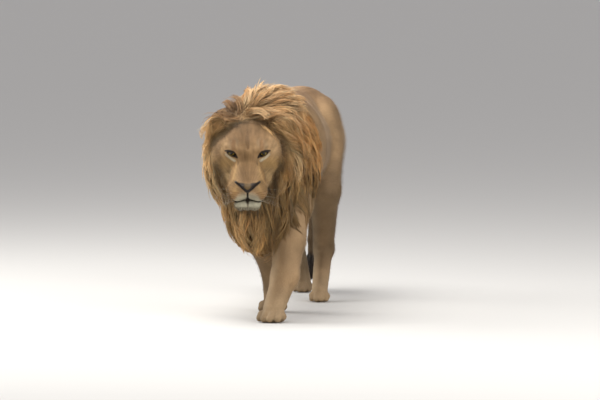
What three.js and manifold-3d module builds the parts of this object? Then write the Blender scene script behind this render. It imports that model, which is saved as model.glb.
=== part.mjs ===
// A male lion with a full blond mane, walking: a still, life-size museum model.
//
// Millimetres. The lion faces -Y, +X is its left, +Z is up, and its four paws stand on Z = 0.
// The body is made of lofts. A loft's sections lie across a centre line, and each point of a
// section is where a ray from the centre line leaves a smooth form: bones, muscles and masses of
// hair, written as tapered bones and egg-shaped lumps that melt into one another.
// All sizes are to the tips of the coat.

import * as THREE from 'three';
import { LoftGeometry } from 'three/addons/geometries/LoftGeometry.js';
import { mergeVertices } from 'three/addons/utils/BufferGeometryUtils.js';
import Module from 'manifold-3d';

// ---------------------------------------------------------------- driving dimensions

const GAP = 0.3; // between neighbouring pieces

const BACK_HEIGHT = 972; // top of the loin
const BELLY_HEIGHT = 476; // lowest point behind the elbows
const RIB_HALF_WIDTH = 212;
const LOIN_RADIUS = 96;
const RUMP_RADIUS = 158;
const RUMP_Y = 535; // middle of the rump
const MANE_BACK_Y = - 235; // where the mane begins, at the top of the back
const MANE_LEAN = 0.3; // how far its edge slants forward towards the elbows
const MANE_HALF_WIDTH = 226;

const EYES_AT = [ - 13, - 935, 756 ]; // midway between the eyes
const HEAD_TURN = 9; // degrees to the lion's left
const HEAD_DROP = 24; // degrees below level
const EYE_SPREAD = 72; // half the distance between the eyes
const EYE_FORWARD = 2; // centre of an eyeball in front of the line between the eyes' corners
const EYE_RADIUS = 19;
const MOUTH_DROP = 141; // closed lips below the eyes, across the head's own length
const EAR_SPREAD = 138; // half the distance between the ears
const EAR_BACK = 140;
const EAR_RISE = 66;
const EAR_RADII = [ 43, 22, 46 ]; // across, through, up
const EAR_CUP = 0.8; // size of the ear's hollow against the ear
const EAR_CUP_FORWARD = 12;

const TAIL_RADIUS = 26;
const TAIL_TAPER = 0.34; // share of the radius lost along the tail
const TUFT_RADIUS = 38;
const TUFT_KNOT = 4; // the knot of the tail where the tuft begins
const TAIL_KNOTS = [
	[ 0, 640, 900 ],
	[ 0, 722, 850 ],
	[ 2, 790, 700 ],
	[ 6, 830, 520 ],
	[ 8, 850, 340 ],
	[ 6, 845, 240 ],
	[ 4, 830, 112 ],
];

// The joints of each leg, from the body down to the tip of the toes. The left foreleg reaches
// forward, the right one trails under the chest, the left hind leg swings under the belly and
// the right one pushes off behind.
const FORELEGS = {
	left: {
		shoulder: [ 128, - 530, 640 ],
		elbow: [ 128, - 500, 500 ],
		midArm: [ 117, - 590, 345 ],
		wrist: [ 114, - 690, 196 ],
		ball: [ 76, - 770, 58 ],
		toes: [ 46, - 846, 30 ],
	},
	right: {
		shoulder: [ - 130, - 490, 640 ],
		elbow: [ - 116, - 430, 505 ],
		midArm: [ - 44, - 362, 345 ],
		wrist: [ 10, - 296, 192 ],
		ball: [ 4, - 285, 58 ],
		toes: [ - 12, - 362, 30 ],
	},
};

const HINDLEGS = {
	left: {
		side: 1,
		hip: [ 112, 500, 790 ],
		thigh: [ 124, 415, 640 ],
		knee: [ 140, 330, 500 ],
		shank: [ 130, 390, 360 ],
		hock: [ 122, 440, 225 ],
		ball: [ 128, 272, 52 ],
		toes: [ 132, 200, 26 ],
	},
	right: {
		side: - 1,
		hip: [ - 112, 520, 790 ],
		thigh: [ - 124, 490, 640 ],
		knee: [ - 122, 455, 480 ],
		shank: [ - 90, 570, 372 ],
		hock: [ - 52, 690, 258 ],
		ball: [ - 22, 765, 52 ],
		toes: [ - 20, 692, 26 ],
	},
};

const FOREPAW = { width: 132, toeRadius: 25, pad: [ 60, 54, 34 ] };
const HINDPAW = { width: 100, toeRadius: 21, pad: [ 46, 48, 32 ] };

// Sections along each piece, and points round a section.
const DETAIL = {
	trunk: { rings: 15, points: 18 },
	mane: { rings: 14, points: 20 },
	head: { rings: 18, points: 26 },
	nose: { rings: 7, points: 12 },
	upperLeg: { rings: 7, points: 16 },
	lowerLeg: { rings: 6, points: 16 },
	paw: { rings: 9, points: 22 },
	tail: { rings: 11, points: 8 },
	tuft: { rings: 8, points: 8 },
};

// ---------------------------------------------------------------- materials

const paint = ( color, roughness = 0.9 ) =>
	new THREE.MeshStandardMaterial( { color, roughness, metalness: 0 } );

const COAT = paint( 0xa5866a );
const MANE = paint( 0xa87f50 );
const LIPS = paint( 0x91866f );
const TUFT = paint( 0x2e2318 );
const LEATHER = paint( 0x3a2c22, 0.45 );
const EYE = paint( 0xb07a2c, 0.1 );

// ---------------------------------------------------------------- forms
// A form tells how far a point is outside it; inside, the number is negative.

const vector = ( [ x, y, z ] ) => new THREE.Vector3( x, y, z );

// A bone with round ends, of its own thickness at each end.
function bone( start, end, startRadius, endRadius = startRadius ) {

	const origin = vector( start );
	const along = vector( end ).sub( origin );
	const lengthSquared = along.lengthSq();
	const offset = new THREE.Vector3();
	return ( point ) => {

		offset.copy( point ).sub( origin );
		const share = THREE.MathUtils.clamp( offset.dot( along ) / lengthSquared, 0, 1 );
		offset.addScaledVector( along, - share );
		return offset.length() - THREE.MathUtils.lerp( startRadius, endRadius, share );

	};

}

// An egg-shaped lump. It leans by turning about X, its top towards +Y.
function lump( centre, radii, leanDegrees = 0 ) {

	const [ cx, cy, cz ] = centre;
	const [ rx, ry, rz ] = radii;
	const lean = THREE.MathUtils.degToRad( leanDegrees );
	const cos = Math.cos( lean );
	const sin = Math.sin( lean );
	return ( point ) => {

		const y = point.y - cy;
		const z = point.z - cz;
		const px = ( point.x - cx ) / rx;
		const py = ( y * cos - z * sin ) / ry;
		const pz = ( y * sin + z * cos ) / rz;
		const reach = Math.hypot( px, py, pz );
		const slope = Math.hypot( px / rx, py / ry, pz / rz );
		return slope > 0 ? reach * ( reach - 1 ) / slope : - Math.min( rx, ry, rz );

	};

}

// Forms joined with soft fillets.
function melt( softness, ...forms ) {

	return ( point ) => forms.reduce( ( nearest, form ) => {

		const distance = form( point );
		const overlap = Math.max( softness - Math.abs( nearest - distance ), 0 ) / softness;
		return Math.min( nearest, distance ) - overlap * overlap * softness / 4;

	}, Infinity );

}

const pair = ( make ) => [ make( - 1 ), make( 1 ) ];

// ---------------------------------------------------------------- solids

const wasm = await Module();
wasm.setup();

function solid( geometry, placement = new THREE.Matrix4() ) {

	const bare = new THREE.BufferGeometry().copy( geometry );
	bare.deleteAttribute( 'normal' );
	bare.deleteAttribute( 'uv' );
	bare.applyMatrix4( placement );
	const merged = mergeVertices( bare, 1e-3 );
	return new wasm.Manifold( new wasm.Mesh( {
		numProp: 3,
		vertProperties: new Float32Array( merged.attributes.position.array ),
		triVerts: new Uint32Array( merged.index.array ),
	} ) );

}

// Cuts a solid in two at a plane, given by a point of it and the direction of its front.
function split( piece, point, direction ) {

	const reach = 3000; // larger than the lion
	const facing = vector( direction ).normalize();
	const turn = new THREE.Quaternion().setFromUnitVectors( new THREE.Vector3( 0, 0, 1 ), facing );
	const half = ( sign ) => {

		const centre = vector( point ).addScaledVector( facing, sign * ( reach + GAP ) / 2 );
		const unscaled = new THREE.Vector3( 1, 1, 1 );
		const placement = new THREE.Matrix4().compose( centre, turn, unscaled );
		return solid( new THREE.BoxGeometry( reach, reach, reach ), placement );

	};
	return { front: piece.intersect( half( 1 ) ), back: piece.intersect( half( - 1 ) ) };

}

const without = ( piece, rooms ) => rooms.reduce( ( rest, room ) => rest.subtract( room ), piece );

function geometryOf( piece ) {

	const mesh = piece.getMesh();
	const positions = new Float32Array( mesh.vertProperties );
	const corners = new Uint32Array( mesh.triVerts );
	const geometry = new THREE.BufferGeometry();
	geometry.setAttribute( 'position', new THREE.BufferAttribute( positions, mesh.numProp ) );
	geometry.setIndex( new THREE.BufferAttribute( corners, 1 ) );
	geometry.computeVertexNormals();
	return geometry;

}

const lion = new THREE.Group();

// Adds a piece under its name. Crumbs that a cut leaves beside it are dropped.
function add( name, piece, material ) {

	const [ body ] = piece.decompose().sort( ( a, b ) => b.volume() - a.volume() );
	const mesh = new THREE.Mesh( geometryOf( body ), material );
	mesh.name = name;
	lion.add( mesh );

}

// ---------------------------------------------------------------- lofts

// The distance along a ray from a point inside a form to the form's surface.
function reachOf( form, centre, direction ) {

	const stride = 8;
	const point = new THREE.Vector3();
	const isInside = ( distance ) =>
		form( point.copy( centre ).addScaledVector( direction, distance ) ) < 0;
	let inside = 0;
	let outside = stride;
	while ( isInside( outside ) ) {

		inside = outside;
		outside += stride;

	}
	for ( let pass = 0; pass < 12; pass ++ ) {

		const halfway = ( inside + outside ) / 2;
		if ( isInside( halfway ) ) inside = halfway;
		else outside = halfway;

	}
	return outside;

}

// A smooth line through knots. Sections lie across it, or across one given direction.
function centreLine( knots, direction = null ) {

	const curve = new THREE.CatmullRomCurve3( knots.map( vector ), false, 'centripetal' );
	const shareOf = ( knot ) => THREE.MathUtils.clamp( knot / ( knots.length - 1 ), 0, 1 );
	return {
		at: ( knot ) => curve.getPoint( shareOf( knot ) ),
		facing: ( knot ) => direction ?? curve.getTangent( shareOf( knot ) ),
	};

}

// A ring of points on a form round a centre line. A shift moves it along the line, and a margin
// widens it.
function section( form, line, knot, points, shift, margin ) {

	const forward = line.facing( knot );
	const centre = line.at( knot );
	const across = new THREE.Vector3( 1, 0, 0 ).addScaledVector( forward, - forward.x ).normalize();
	const up = forward.clone().cross( across );
	return Array.from( { length: points }, ( _, index ) => {

		const angle = index / points * Math.PI * 2;
		const direction = across.clone().multiplyScalar( Math.cos( angle ) );
		direction.addScaledVector( up, Math.sin( angle ) );
		const reach = reachOf( form, centre, direction ) + margin;
		return centre.clone().addScaledVector( direction, reach ).addScaledVector( forward, shift );

	} );

}

// One closed solid round a centre line, from one knot to another. An end that runs out of the
// form is rounded off where the form ends. An end inside the form is a flat cut, which leaves
// half the gap to the piece beyond it. A margin makes the room that the neighbours leave.
function loft( form, line, from, to, { rings, points }, margin = 0 ) {

	const leastDepth = 1.5;
	const isInside = ( knot ) => form( line.at( knot ) ) < - leastDepth;
	const lastInside = ( end ) => {

		let inside = ( from + to ) / 2;
		let outside = end;
		for ( let pass = 0; pass < 16; pass ++ ) {

			const knot = ( inside + outside ) / 2;
			if ( isInside( knot ) ) inside = knot;
			else outside = knot;

		}
		return inside;

	};
	const roundStart = ! isInside( from );
	const roundEnd = ! isInside( to );
	const start = roundStart ? lastInside( from ) : from;
	const end = roundEnd ? lastInside( to ) : to;
	const spread = ( share ) => {

		if ( roundStart && roundEnd ) return ( 1 - Math.cos( share * Math.PI ) ) / 2;
		if ( roundStart ) return 1 - Math.cos( share * Math.PI / 2 );
		if ( roundEnd ) return Math.sin( share * Math.PI / 2 );
		return share;

	};
	const sections = Array.from( { length: rings }, ( _, ring ) => {

		const knot = THREE.MathUtils.lerp( start, end, spread( ring / ( rings - 1 ) ) );
		let shift = 0;
		if ( ring === 0 ) shift = ( roundStart ? 0 : GAP / 2 ) - margin;
		if ( ring === rings - 1 ) shift = margin - ( roundEnd ? 0 : GAP / 2 );
		return section( form, line, knot, points, shift, margin );

	} );
	return solid( new LoftGeometry( sections, { capStart: true, capEnd: true } ) );

}

// ---------------------------------------------------------------- legs

const beside = ( [ x, y, z ], dx, dy, dz ) => [ x + dx, y + dy, z + dz ];

const directionOfPaw = ( { ball, toes } ) => vector( toes ).sub( vector( ball ) ).setZ( 0 ).normalize();

// Four toes side by side in front of the ball of a paw, the middle two longest.
function toeForms( leg, { width, toeRadius } ) {

	const forward = directionOfPaw( leg );
	const across = new THREE.Vector3( - forward.y, forward.x, 0 );
	const pitch = ( width - 2 * toeRadius ) / 3;
	return [ - 1.5, - 0.5, 0.5, 1.5 ].map( ( place ) => {

		const shift = across.clone().multiplyScalar( place * pitch );
		const setBack = toeRadius + ( Math.abs( place ) > 1 ? 20 : 2 );
		const root = vector( leg.ball ).addScaledVector( forward, 6 ).add( shift );
		const tip = vector( leg.toes ).addScaledVector( forward, - setBack ).add( shift );
		root.setZ( toeRadius + 6 );
		tip.setZ( toeRadius - 4 );
		return bone( root.toArray(), tip.toArray(), toeRadius + 8, toeRadius );

	} );

}

function pawForm( leg, paw, softness ) {

	const padHeight = 25;
	const [ x, y ] = leg.ball;
	return melt( softness, lump( [ x, y + 2, padHeight ], paw.pad ), ...toeForms( leg, paw ) );

}

function forelegForm( leg ) {

	const { shoulder, elbow, midArm, wrist, ball } = leg;
	const upperArm = bone( shoulder, elbow, 88, 78 );
	const triceps = lump( beside( shoulder, 0, 66, - 20 ), [ 66, 96, 116 ] );
	const forearmTop = bone( elbow, midArm, 80, 72 );
	const forearmEnd = bone( midArm, wrist, 74, 62 );
	const pastern = bone( wrist, ball, 61, 50 );
	const wristPad = lump( beside( wrist, 0, 46, - 14 ), [ 20, 18, 20 ] );
	const arm = melt( 30, upperArm, triceps, forearmTop, forearmEnd, pastern, wristPad );
	return melt( 24, arm, pawForm( leg, FOREPAW, 10 ) );

}

function hindlegForm( leg ) {

	const { side, hip, knee, hock, ball } = leg;
	const haunch = lump( beside( hip, 0, 0, - 50 ), [ 88, 170, 180 ] );
	const frontOfThigh = bone( beside( hip, side * 6, - 60, - 90 ), knee, 96, 76 );
	const hamTop = beside( hip, side * - 4, 86, - 70 );
	const hamEnd = beside( knee, side * - 8, 96, - 40 );
	const hamstring = bone( hamTop, hamEnd, 88, 52 );
	const shin = bone( knee, hock, 72, 42 );
	const calf = bone( beside( knee, side * - 6, 70, - 30 ), hock, 58, 34 );
	const heel = lump( beside( hock, 0, 26, 14 ), [ 27, 26, 36 ] );
	const pastern = bone( hock, ball, 44, 40 );
	const limb = melt( 34, haunch, frontOfThigh, hamstring, shin, calf, heel, pastern );
	return melt( 24, limb, pawForm( leg, HINDPAW, 9 ) );

}

const DOWN = new THREE.Vector3( 0, 0, - 1 );
const legRooms = [];

// Adds one leg in three lengths. Its sections lie level, from the top knot down to the floor.
// The last two knots take the centre line to the middle of the sole.
function addLeg( form, leg, joints, cuts, names ) {

	const instep = vector( leg.ball ).lerp( vector( leg.toes ), 0.35 );
	const soleKnots = [ instep.setZ( 28 ).toArray(), instep.setZ( 0 ).toArray() ];
	const knots = [ ...joints, leg.ball, ...soleKnots ];
	const line = centreLine( knots, DOWN );
	const ends = [ 0, ...cuts, knots.length - 1 ];
	const details = [ DETAIL.upperLeg, DETAIL.lowerLeg, DETAIL.paw ];
	names.forEach( ( name, index ) => {

		const [ start, end ] = ends.slice( index );
		add( name, loft( form, line, start, end, details[ index ] ), COAT );
		legRooms.push( loft( form, line, start, end, details[ index ], GAP ) );

	} );

}

for ( const [ name, leg ] of Object.entries( FORELEGS ) ) {

	const { shoulder, elbow, midArm, wrist } = leg;
	const joints = [ beside( shoulder, 0, 20, 130 ), shoulder, elbow, midArm, wrist ];
	const names = [ `upper_arm_${ name }`, `forearm_${ name }`, `forepaw_${ name }` ];
	addLeg( forelegForm( leg ), leg, joints, [ 2, 4 ], names );

}

for ( const [ name, leg ] of Object.entries( HINDLEGS ) ) {

	const { hip, thigh, knee, shank, hock } = leg;
	const behindKnee = beside( knee, 0, 34, 0 );
	const joints = [ beside( hip, 0, 10, 170 ), hip, thigh, behindKnee, shank, hock ];
	const names = [ `thigh_${ name }`, `shank_${ name }`, `hindpaw_${ name }` ];
	addLeg( hindlegForm( leg ), leg, joints, [ 3, 5 ], names );

}

// ---------------------------------------------------------------- tail

const tailLine = centreLine( TAIL_KNOTS );
const tailRadius = ( knot ) => TAIL_RADIUS * ( 1 - TAIL_TAPER * knot / TAIL_KNOTS.length );
const tailBones = TAIL_KNOTS.slice( 1 ).map( ( end, knot ) =>
	bone( TAIL_KNOTS[ knot ], end, tailRadius( knot ), tailRadius( knot + 1 ) ) );
const tuftHair = lump( [ 5, 838, 200 ], [ TUFT_RADIUS, TUFT_RADIUS, 92 ], - 6 );
const tailForm = melt( 16, ...tailBones, tuftHair );

add( 'tail', loft( tailForm, tailLine, 0, TUFT_KNOT, DETAIL.tail ), COAT );
add( 'tail_tuft', loft( tailForm, tailLine, TUFT_KNOT, 6, DETAIL.tuft ), TUFT );

// ---------------------------------------------------------------- trunk

const bodyMiddle = ( BACK_HEIGHT + BELLY_HEIGHT ) / 2;
const ribDepth = ( BACK_HEIGHT - BELLY_HEIGHT ) / 2;
const loinHeight = BACK_HEIGHT - LOIN_RADIUS;
const rumpHeight = BACK_HEIGHT - RUMP_RADIUS;

const chest = lump( [ 0, - 330, bodyMiddle + 8 ], [ RIB_HALF_WIDTH - 20, 250, ribDepth ] );
const ribs = lump( [ 0, - 60, bodyMiddle ], [ RIB_HALF_WIDTH, 330, ribDepth ] );
const belly = lump( [ 0, 215, bodyMiddle - 8 ], [ RIB_HALF_WIDTH - 26, 290, ribDepth - 32 ] );
const loin = bone( [ 0, - 250, loinHeight ], [ 0, 420, loinHeight - 4 ], LOIN_RADIUS );
const rump = lump( [ 0, RUMP_Y, rumpHeight ], [ RUMP_RADIUS, 195, RUMP_RADIUS ] );
const trunkForm = melt( 50, chest, ribs, belly, loin, rump );

const trunkLine = centreLine( [
	[ 0, - 420, bodyMiddle ],
	[ 0, 0, bodyMiddle ],
	[ 0, 400, bodyMiddle + 40 ],
	[ 0, RUMP_Y + 65, bodyMiddle + 80 ],
	[ 0, RUMP_Y + 245, bodyMiddle + 90 ],
], new THREE.Vector3( 0, 1, 0 ) );

// The trunk ends where the mane begins, at a plane that leans forward towards the elbows.
function atManeEdge( piece ) {

	return split( piece, [ 0, MANE_BACK_Y, BACK_HEIGHT ], [ 0, 1, - MANE_LEAN ] );

}

const wholeTrunk = loft( trunkForm, trunkLine, 0, 4, DETAIL.trunk );
const tailRoom = loft( tailForm, tailLine, 0, TUFT_KNOT, DETAIL.tail, GAP );
add( 'trunk', without( atManeEdge( wholeTrunk ).front, [ ...legRooms, tailRoom ] ), COAT );

// ---------------------------------------------------------------- head
// The head's own frame has its origin midway between the eyes: +X is the lion's left, -Y runs
// forward along the head, and +Z is up.

const headPlacement = new THREE.Matrix4()
	.makeTranslation( ...EYES_AT )
	.multiply( new THREE.Matrix4().makeRotationZ( THREE.MathUtils.degToRad( HEAD_TURN ) ) )
	.multiply( new THREE.Matrix4().makeRotationX( THREE.MathUtils.degToRad( HEAD_DROP ) ) );
const headInverse = headPlacement.clone().invert();
const headForward = new THREE.Vector3( 0, - 1, 0 ).transformDirection( headPlacement );
const headPoint = ( point ) => vector( point ).applyMatrix4( headPlacement ).toArray();

function inHeadFrame( form ) {

	const local = new THREE.Vector3();
	return ( point ) => form( local.copy( point ).applyMatrix4( headInverse ) );

}

const cranium = lump( [ 0, 118, - 12 ], [ 126, 150, 98 ] );
const forehead = lump( [ 0, 64, 12 ], [ 106, 88, 62 ] );
const brow = ( side ) => lump( [ side * 62, 40, 24 ], [ 46, 44, 31 ] );
const cheekbone = ( side ) => lump( [ side * 100, 84, - 44 ], [ 56, 92, 74 ] );
const jowl = ( side ) => lump( [ side * 96, 78, - 112 ], [ 56, 96, 78 ] );
const underEye = ( side ) => bone( [ side * 54, 4, - 56 ], [ side * 92, 60, - 70 ], 34, 54 );
const faceForms = [ brow, cheekbone, jowl, underEye ].flatMap( pair );
const skullForm = melt( 34, cranium, forehead, ...faceForms );

const noseBridge = ( side ) => bone( [ side * 17, 4, - 36 ], [ side * 17, - 152, - 92 ], 36, 33 );
const whiskerPad = ( side ) => lump( [ side * 46, - 128, - 108 ], [ 45, 60, 44 ] );
const upperJaw = lump( [ 0, - 100, - 100 ], [ 66, 92, 56 ] );
const muzzleForm = melt( 22, upperJaw, ...pair( noseBridge ), ...pair( whiskerPad ) );

const chin = lump( [ 0, - 134, - 168 ], [ 44, 46, 34 ] );
const jawBone = ( side ) => bone( [ side * 66, 10, - 128 ], [ side * 24, - 110, - 160 ], 54, 36 );
const jawForm = melt( 26, chin, ...pair( jawBone ) );

const headForm = inHeadFrame( melt( 24, skullForm, muzzleForm, jawForm ) );
const headLine = centreLine( [
	headPoint( [ 0, 225, - 34 ] ),
	headPoint( [ 0, 120, - 45 ] ),
	headPoint( [ 0, 0, - 78 ] ),
	headPoint( [ 0, - 110, - 114 ] ),
	headPoint( [ 0, - 210, - 118 ] ),
], headForward );

const noseWing = ( side ) => lump( [ side * 27, - 170, - 74 ], [ 25, 22, 15 ] );
const noseTip = lump( [ 0, - 174, - 84 ], [ 24, 22, 20 ] );
const noseForm = inHeadFrame( melt( 12, noseTip, ...pair( noseWing ) ) );
const noseEnds = [ headPoint( [ 0, - 130, - 80 ] ), headPoint( [ 0, - 220, - 80 ] ) ];
const noseLine = centreLine( noseEnds, headForward );

function eyeball( side, radius ) {

	const place = new THREE.Matrix4().makeTranslation( side * EYE_SPREAD, - EYE_FORWARD, 0 );
	return solid( new THREE.SphereGeometry( radius, 12, 8 ), headPlacement.clone().multiply( place ) );

}

// An egg shape where an ear grows, turned outwards. Its size is a share of the ear's own.
function earEgg( side, share, margin = 0, forward = 0 ) {

	const place = new THREE.Matrix4()
		.makeTranslation( side * EAR_SPREAD, EAR_BACK, EAR_RISE )
		.multiply( new THREE.Matrix4().makeRotationY( side * 0.5 ) )
		.multiply( new THREE.Matrix4().makeRotationZ( side * 0.35 ) );
	const radii = EAR_RADII.map( ( radius ) => radius * share + margin );
	const egg = new THREE.SphereGeometry( 1, 12, 8 ).scale( ...radii ).translate( 0, - forward, 0 );
	return solid( egg, headPlacement.clone().multiply( place ) );

}

// A block that takes in the lower jaw, from the closed lips down.
function jawBlock( margin ) {

	const [ width, length, height ] = [ 400, 240 + 2 * margin, 200 ];
	const geometry = new THREE.BoxGeometry( width, length, height );
	geometry.translate( 0, - 175, margin - MOUTH_DROP - height / 2 );
	return solid( geometry, headPlacement );

}

const wholeHead = loft( headForm, headLine, 0, 4, DETAIL.head );
const headRoom = loft( headForm, headLine, 0, 4, DETAIL.head, GAP );
const noseRoom = loft( noseForm, noseLine, 0, 1, DETAIL.nose, GAP );
const eyeRooms = pair( ( side ) => eyeball( side, EYE_RADIUS + GAP ) );

add( 'head', without( wholeHead, [ jawBlock( GAP ), noseRoom, ...eyeRooms ] ), COAT );
add( 'lower_jaw', wholeHead.intersect( jawBlock( 0 ) ), LIPS );
add( 'nose', loft( noseForm, noseLine, 0, 1, DETAIL.nose ), LEATHER );

for ( const [ name, side ] of [ [ 'left', 1 ], [ 'right', - 1 ] ] ) {

	const hollow = earEgg( side, EAR_CUP, 0, EAR_CUP_FORWARD );
	add( `ear_${ name }`, without( earEgg( side, 1 ), [ hollow, headRoom ] ), COAT );
	add( `eye_${ name }`, eyeball( side, EYE_RADIUS ), EYE );

}

// ---------------------------------------------------------------- neck and mane

const ruff = lump( [ - 14, - 730, 752 ], [ MANE_HALF_WIDTH + 8, 168, 240 ], 12 );
const crest = lump( [ 58, - 685, 912 ], [ 152, 160, 140 ] ); // swept to the lion's left
const crown = lump( [ - 90, - 715, 876 ], [ 138, 146, 118 ] );
const neckHair = lump( [ 0, - 560, 735 ], [ MANE_HALF_WIDTH, 230, 268 ], - 6 );
const cape = lump( [ 0, - 400, 760 ], [ MANE_HALF_WIDTH - 6, 190, 236 ], - 10 );
const bib = lump( [ - 42, - 655, 538 ], [ 184, 132, 250 ], - 8 );
const nape = bone( [ 0, - 640, 900 ], [ 0, - 200, 878 ], 100, 94 );
const flick = bone( [ - 190, - 752, 848 ], [ - 244, - 780, 834 ], 40, 14 ); // blown sideways
const maneForm = melt( 60, ruff, crest, crown, neckHair, cape, bib, nape, flick );

const maneLine = centreLine( [
	[ 0, - 120, 740 ],
	[ 0, - 400, 730 ],
	[ 0, - 640, 710 ],
	[ 0, - 800, 740 ],
	[ 0, - 1000, 750 ],
], new THREE.Vector3( 0, - 1, 0 ) );

const earRooms = pair( ( side ) => earEgg( side, 1, GAP ) );
const wholeMane = atManeEdge( loft( maneForm, maneLine, 0, 4, DETAIL.mane ) ).back;
const looseMane = without( wholeMane, [ ...legRooms, headRoom, ...earRooms ] );
const atRuff = split( looseMane, [ 0, - 690, 740 ], [ 0, - 1, 0.1 ] );
const atChest = split( atRuff.back, [ 0, - 600, 560 ], [ 0, 0.5, 1 ] );
add( 'mane_ruff', atRuff.front, MANE );
add( 'neck', atChest.front, MANE );
add( 'mane_chest', atChest.back, MANE );

// ---------------------------------------------------------------- origin

// The origin is the middle of the underside of the whole lion.
const bounds = new THREE.Box3().setFromObject( lion );
const middle = bounds.getCenter( new THREE.Vector3() );
for ( const mesh of lion.children ) mesh.position.set( - middle.x, - middle.y, - bounds.min.z );

export default lion;
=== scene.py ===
"""A walking male lion: skin, eyes, short coat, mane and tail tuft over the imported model.

Sizes of the animal are in millimetres in the body's own frame: the lion faces -Y, +X is its
left side, +Z is up and the paws stand on Z = 0. Blender's objects are in metres in the frame
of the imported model.
"""

import math
from itertools import product

import bmesh
import bpy
import numpy as np
from mathutils import Matrix, Vector
from mathutils.kdtree import KDTree


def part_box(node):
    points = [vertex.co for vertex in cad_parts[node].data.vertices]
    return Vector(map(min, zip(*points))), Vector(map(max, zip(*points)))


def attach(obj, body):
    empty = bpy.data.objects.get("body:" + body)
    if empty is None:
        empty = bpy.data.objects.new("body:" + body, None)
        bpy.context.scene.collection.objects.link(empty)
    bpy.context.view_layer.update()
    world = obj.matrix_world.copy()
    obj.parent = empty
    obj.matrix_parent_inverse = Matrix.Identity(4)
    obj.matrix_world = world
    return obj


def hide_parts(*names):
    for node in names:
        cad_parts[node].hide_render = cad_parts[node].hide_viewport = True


bl_info = {
    "name": "Walking lion",
    "version": (1, 0, 0),
    "blender": (4, 5, 0),
    "location": "View3D > Sidebar > Lion",
    "description": "Builds the skin, eyes, coat and mane of a life-size lion",
    "category": "Object",
}

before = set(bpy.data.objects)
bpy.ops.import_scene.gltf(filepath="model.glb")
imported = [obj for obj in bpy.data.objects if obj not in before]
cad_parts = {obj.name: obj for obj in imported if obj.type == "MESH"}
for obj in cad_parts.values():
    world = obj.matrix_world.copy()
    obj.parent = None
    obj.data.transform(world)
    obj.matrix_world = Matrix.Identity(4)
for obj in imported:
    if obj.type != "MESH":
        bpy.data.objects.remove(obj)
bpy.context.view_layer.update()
BODY = "root"
METRES = 0.001
FAR = 80.0  # millimetres; soft shapes are not told apart beyond this distance

# Seeds of the random draws.
BACK_STREAK_SEED, LEG_STREAK_SEED, BODY_MOTTLE_SEED = 5, 6, 7
FACE_STREAK_SEED, FACE_MOTTLE_SEED = 8, 9
MANE_WANDER_SEED, MANE_PARTING_SEED = 17, 18
MANE_ROOT_SEED, MANE_GROWTH_SEED, MANE_SHADE_SEED = 11, 21, 31
TAIL_SEED = 41
COAT_ROOT_SEED, COAT_SHADE_SEED, TUFT_SEED = 51, 61, 70
WHISKER_SEED = 81
RUFF_ROOT_SEED, RUFF_SHADE_SEED, RUFF_MOTTLE_SEED = 91, 92, 93
PROBE = 0.6  # millimetres to either side at which a shape's slope is felt


# ------------------------------------------------------------------ soft shapes


class Shape:
    """A soft solid. at(x, y, z) is the distance to its surface, negative inside."""

    def __init__(self, at, low, high):
        self.at = at
        self.low = np.asarray(low, float)
        self.high = np.asarray(high, float)

    def near(self, x, y, z):
        """The part of a grid or point list that this shape can reach, and its coordinates."""
        low = self.low - FAR
        high = self.high + FAR
        if x.ndim == 3 and x.size == x.shape[0] and y.size == y.shape[1]:
            index = []
            for axis, line in enumerate((x, y, z)):
                flat = line.ravel()
                start = np.searchsorted(flat, low[axis])
                stop = np.searchsorted(flat, high[axis])
                index.append(slice(start, stop))
            i, j, k = index
            return (i, j, k), (x[i], y[:, j], z[:, :, k])
        inside = (x > low[0]) & (x < high[0]) & (y > low[1]) & (y < high[1])
        inside &= (z > low[2]) & (z < high[2])
        return inside, (x[inside], y[inside], z[inside])


def bone(start, end, start_radius, end_radius=None):
    """A round-ended bar, of its own thickness at each end."""
    if end_radius is None:
        end_radius = start_radius
    start = np.asarray(start, float)
    end = np.asarray(end, float)
    along = end - start
    length_squared = along @ along

    def at(x, y, z):
        dx, dy, dz = x - start[0], y - start[1], z - start[2]
        share = (dx * along[0] + dy * along[1] + dz * along[2]) / length_squared
        share = np.clip(share, 0, 1)
        dx = dx - share * along[0]
        dy = dy - share * along[1]
        dz = dz - share * along[2]
        radius = start_radius + (end_radius - start_radius) * share
        return np.sqrt(dx * dx + dy * dy + dz * dz) - radius

    low = np.minimum(start - start_radius, end - end_radius)
    high = np.maximum(start + start_radius, end + end_radius)
    return Shape(at, low, high)


def lump(centre, radii, lean_degrees=0.0):
    """An egg shape, leaning about X with its top towards +Y."""
    cx, cy, cz = centre
    rx, ry, rz = radii
    lean = math.radians(lean_degrees)
    cos, sin = math.cos(lean), math.sin(lean)

    def at(x, y, z):
        dy, dz = y - cy, z - cz
        px = (x - cx) / rx
        py = (dy * cos - dz * sin) / ry
        pz = (dy * sin + dz * cos) / rz
        reach = np.sqrt(px * px + py * py + pz * pz)
        slope = np.sqrt((px / rx) ** 2 + (py / ry) ** 2 + (pz / rz) ** 2)
        return reach * (reach - 1) / np.maximum(slope, 1e-9)

    ey = math.hypot(ry * cos, rz * sin)
    ez = math.hypot(ry * sin, rz * cos)
    return Shape(at, (cx - rx, cy - ey, cz - ez), (cx + rx, cy + ey, cz + ez))


def fillet(one, other, softness):
    """Depth of the fillet where two distances meet."""
    overlap = np.maximum(softness - np.abs(one - other), 0)
    return overlap * overlap / (4 * softness)


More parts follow.
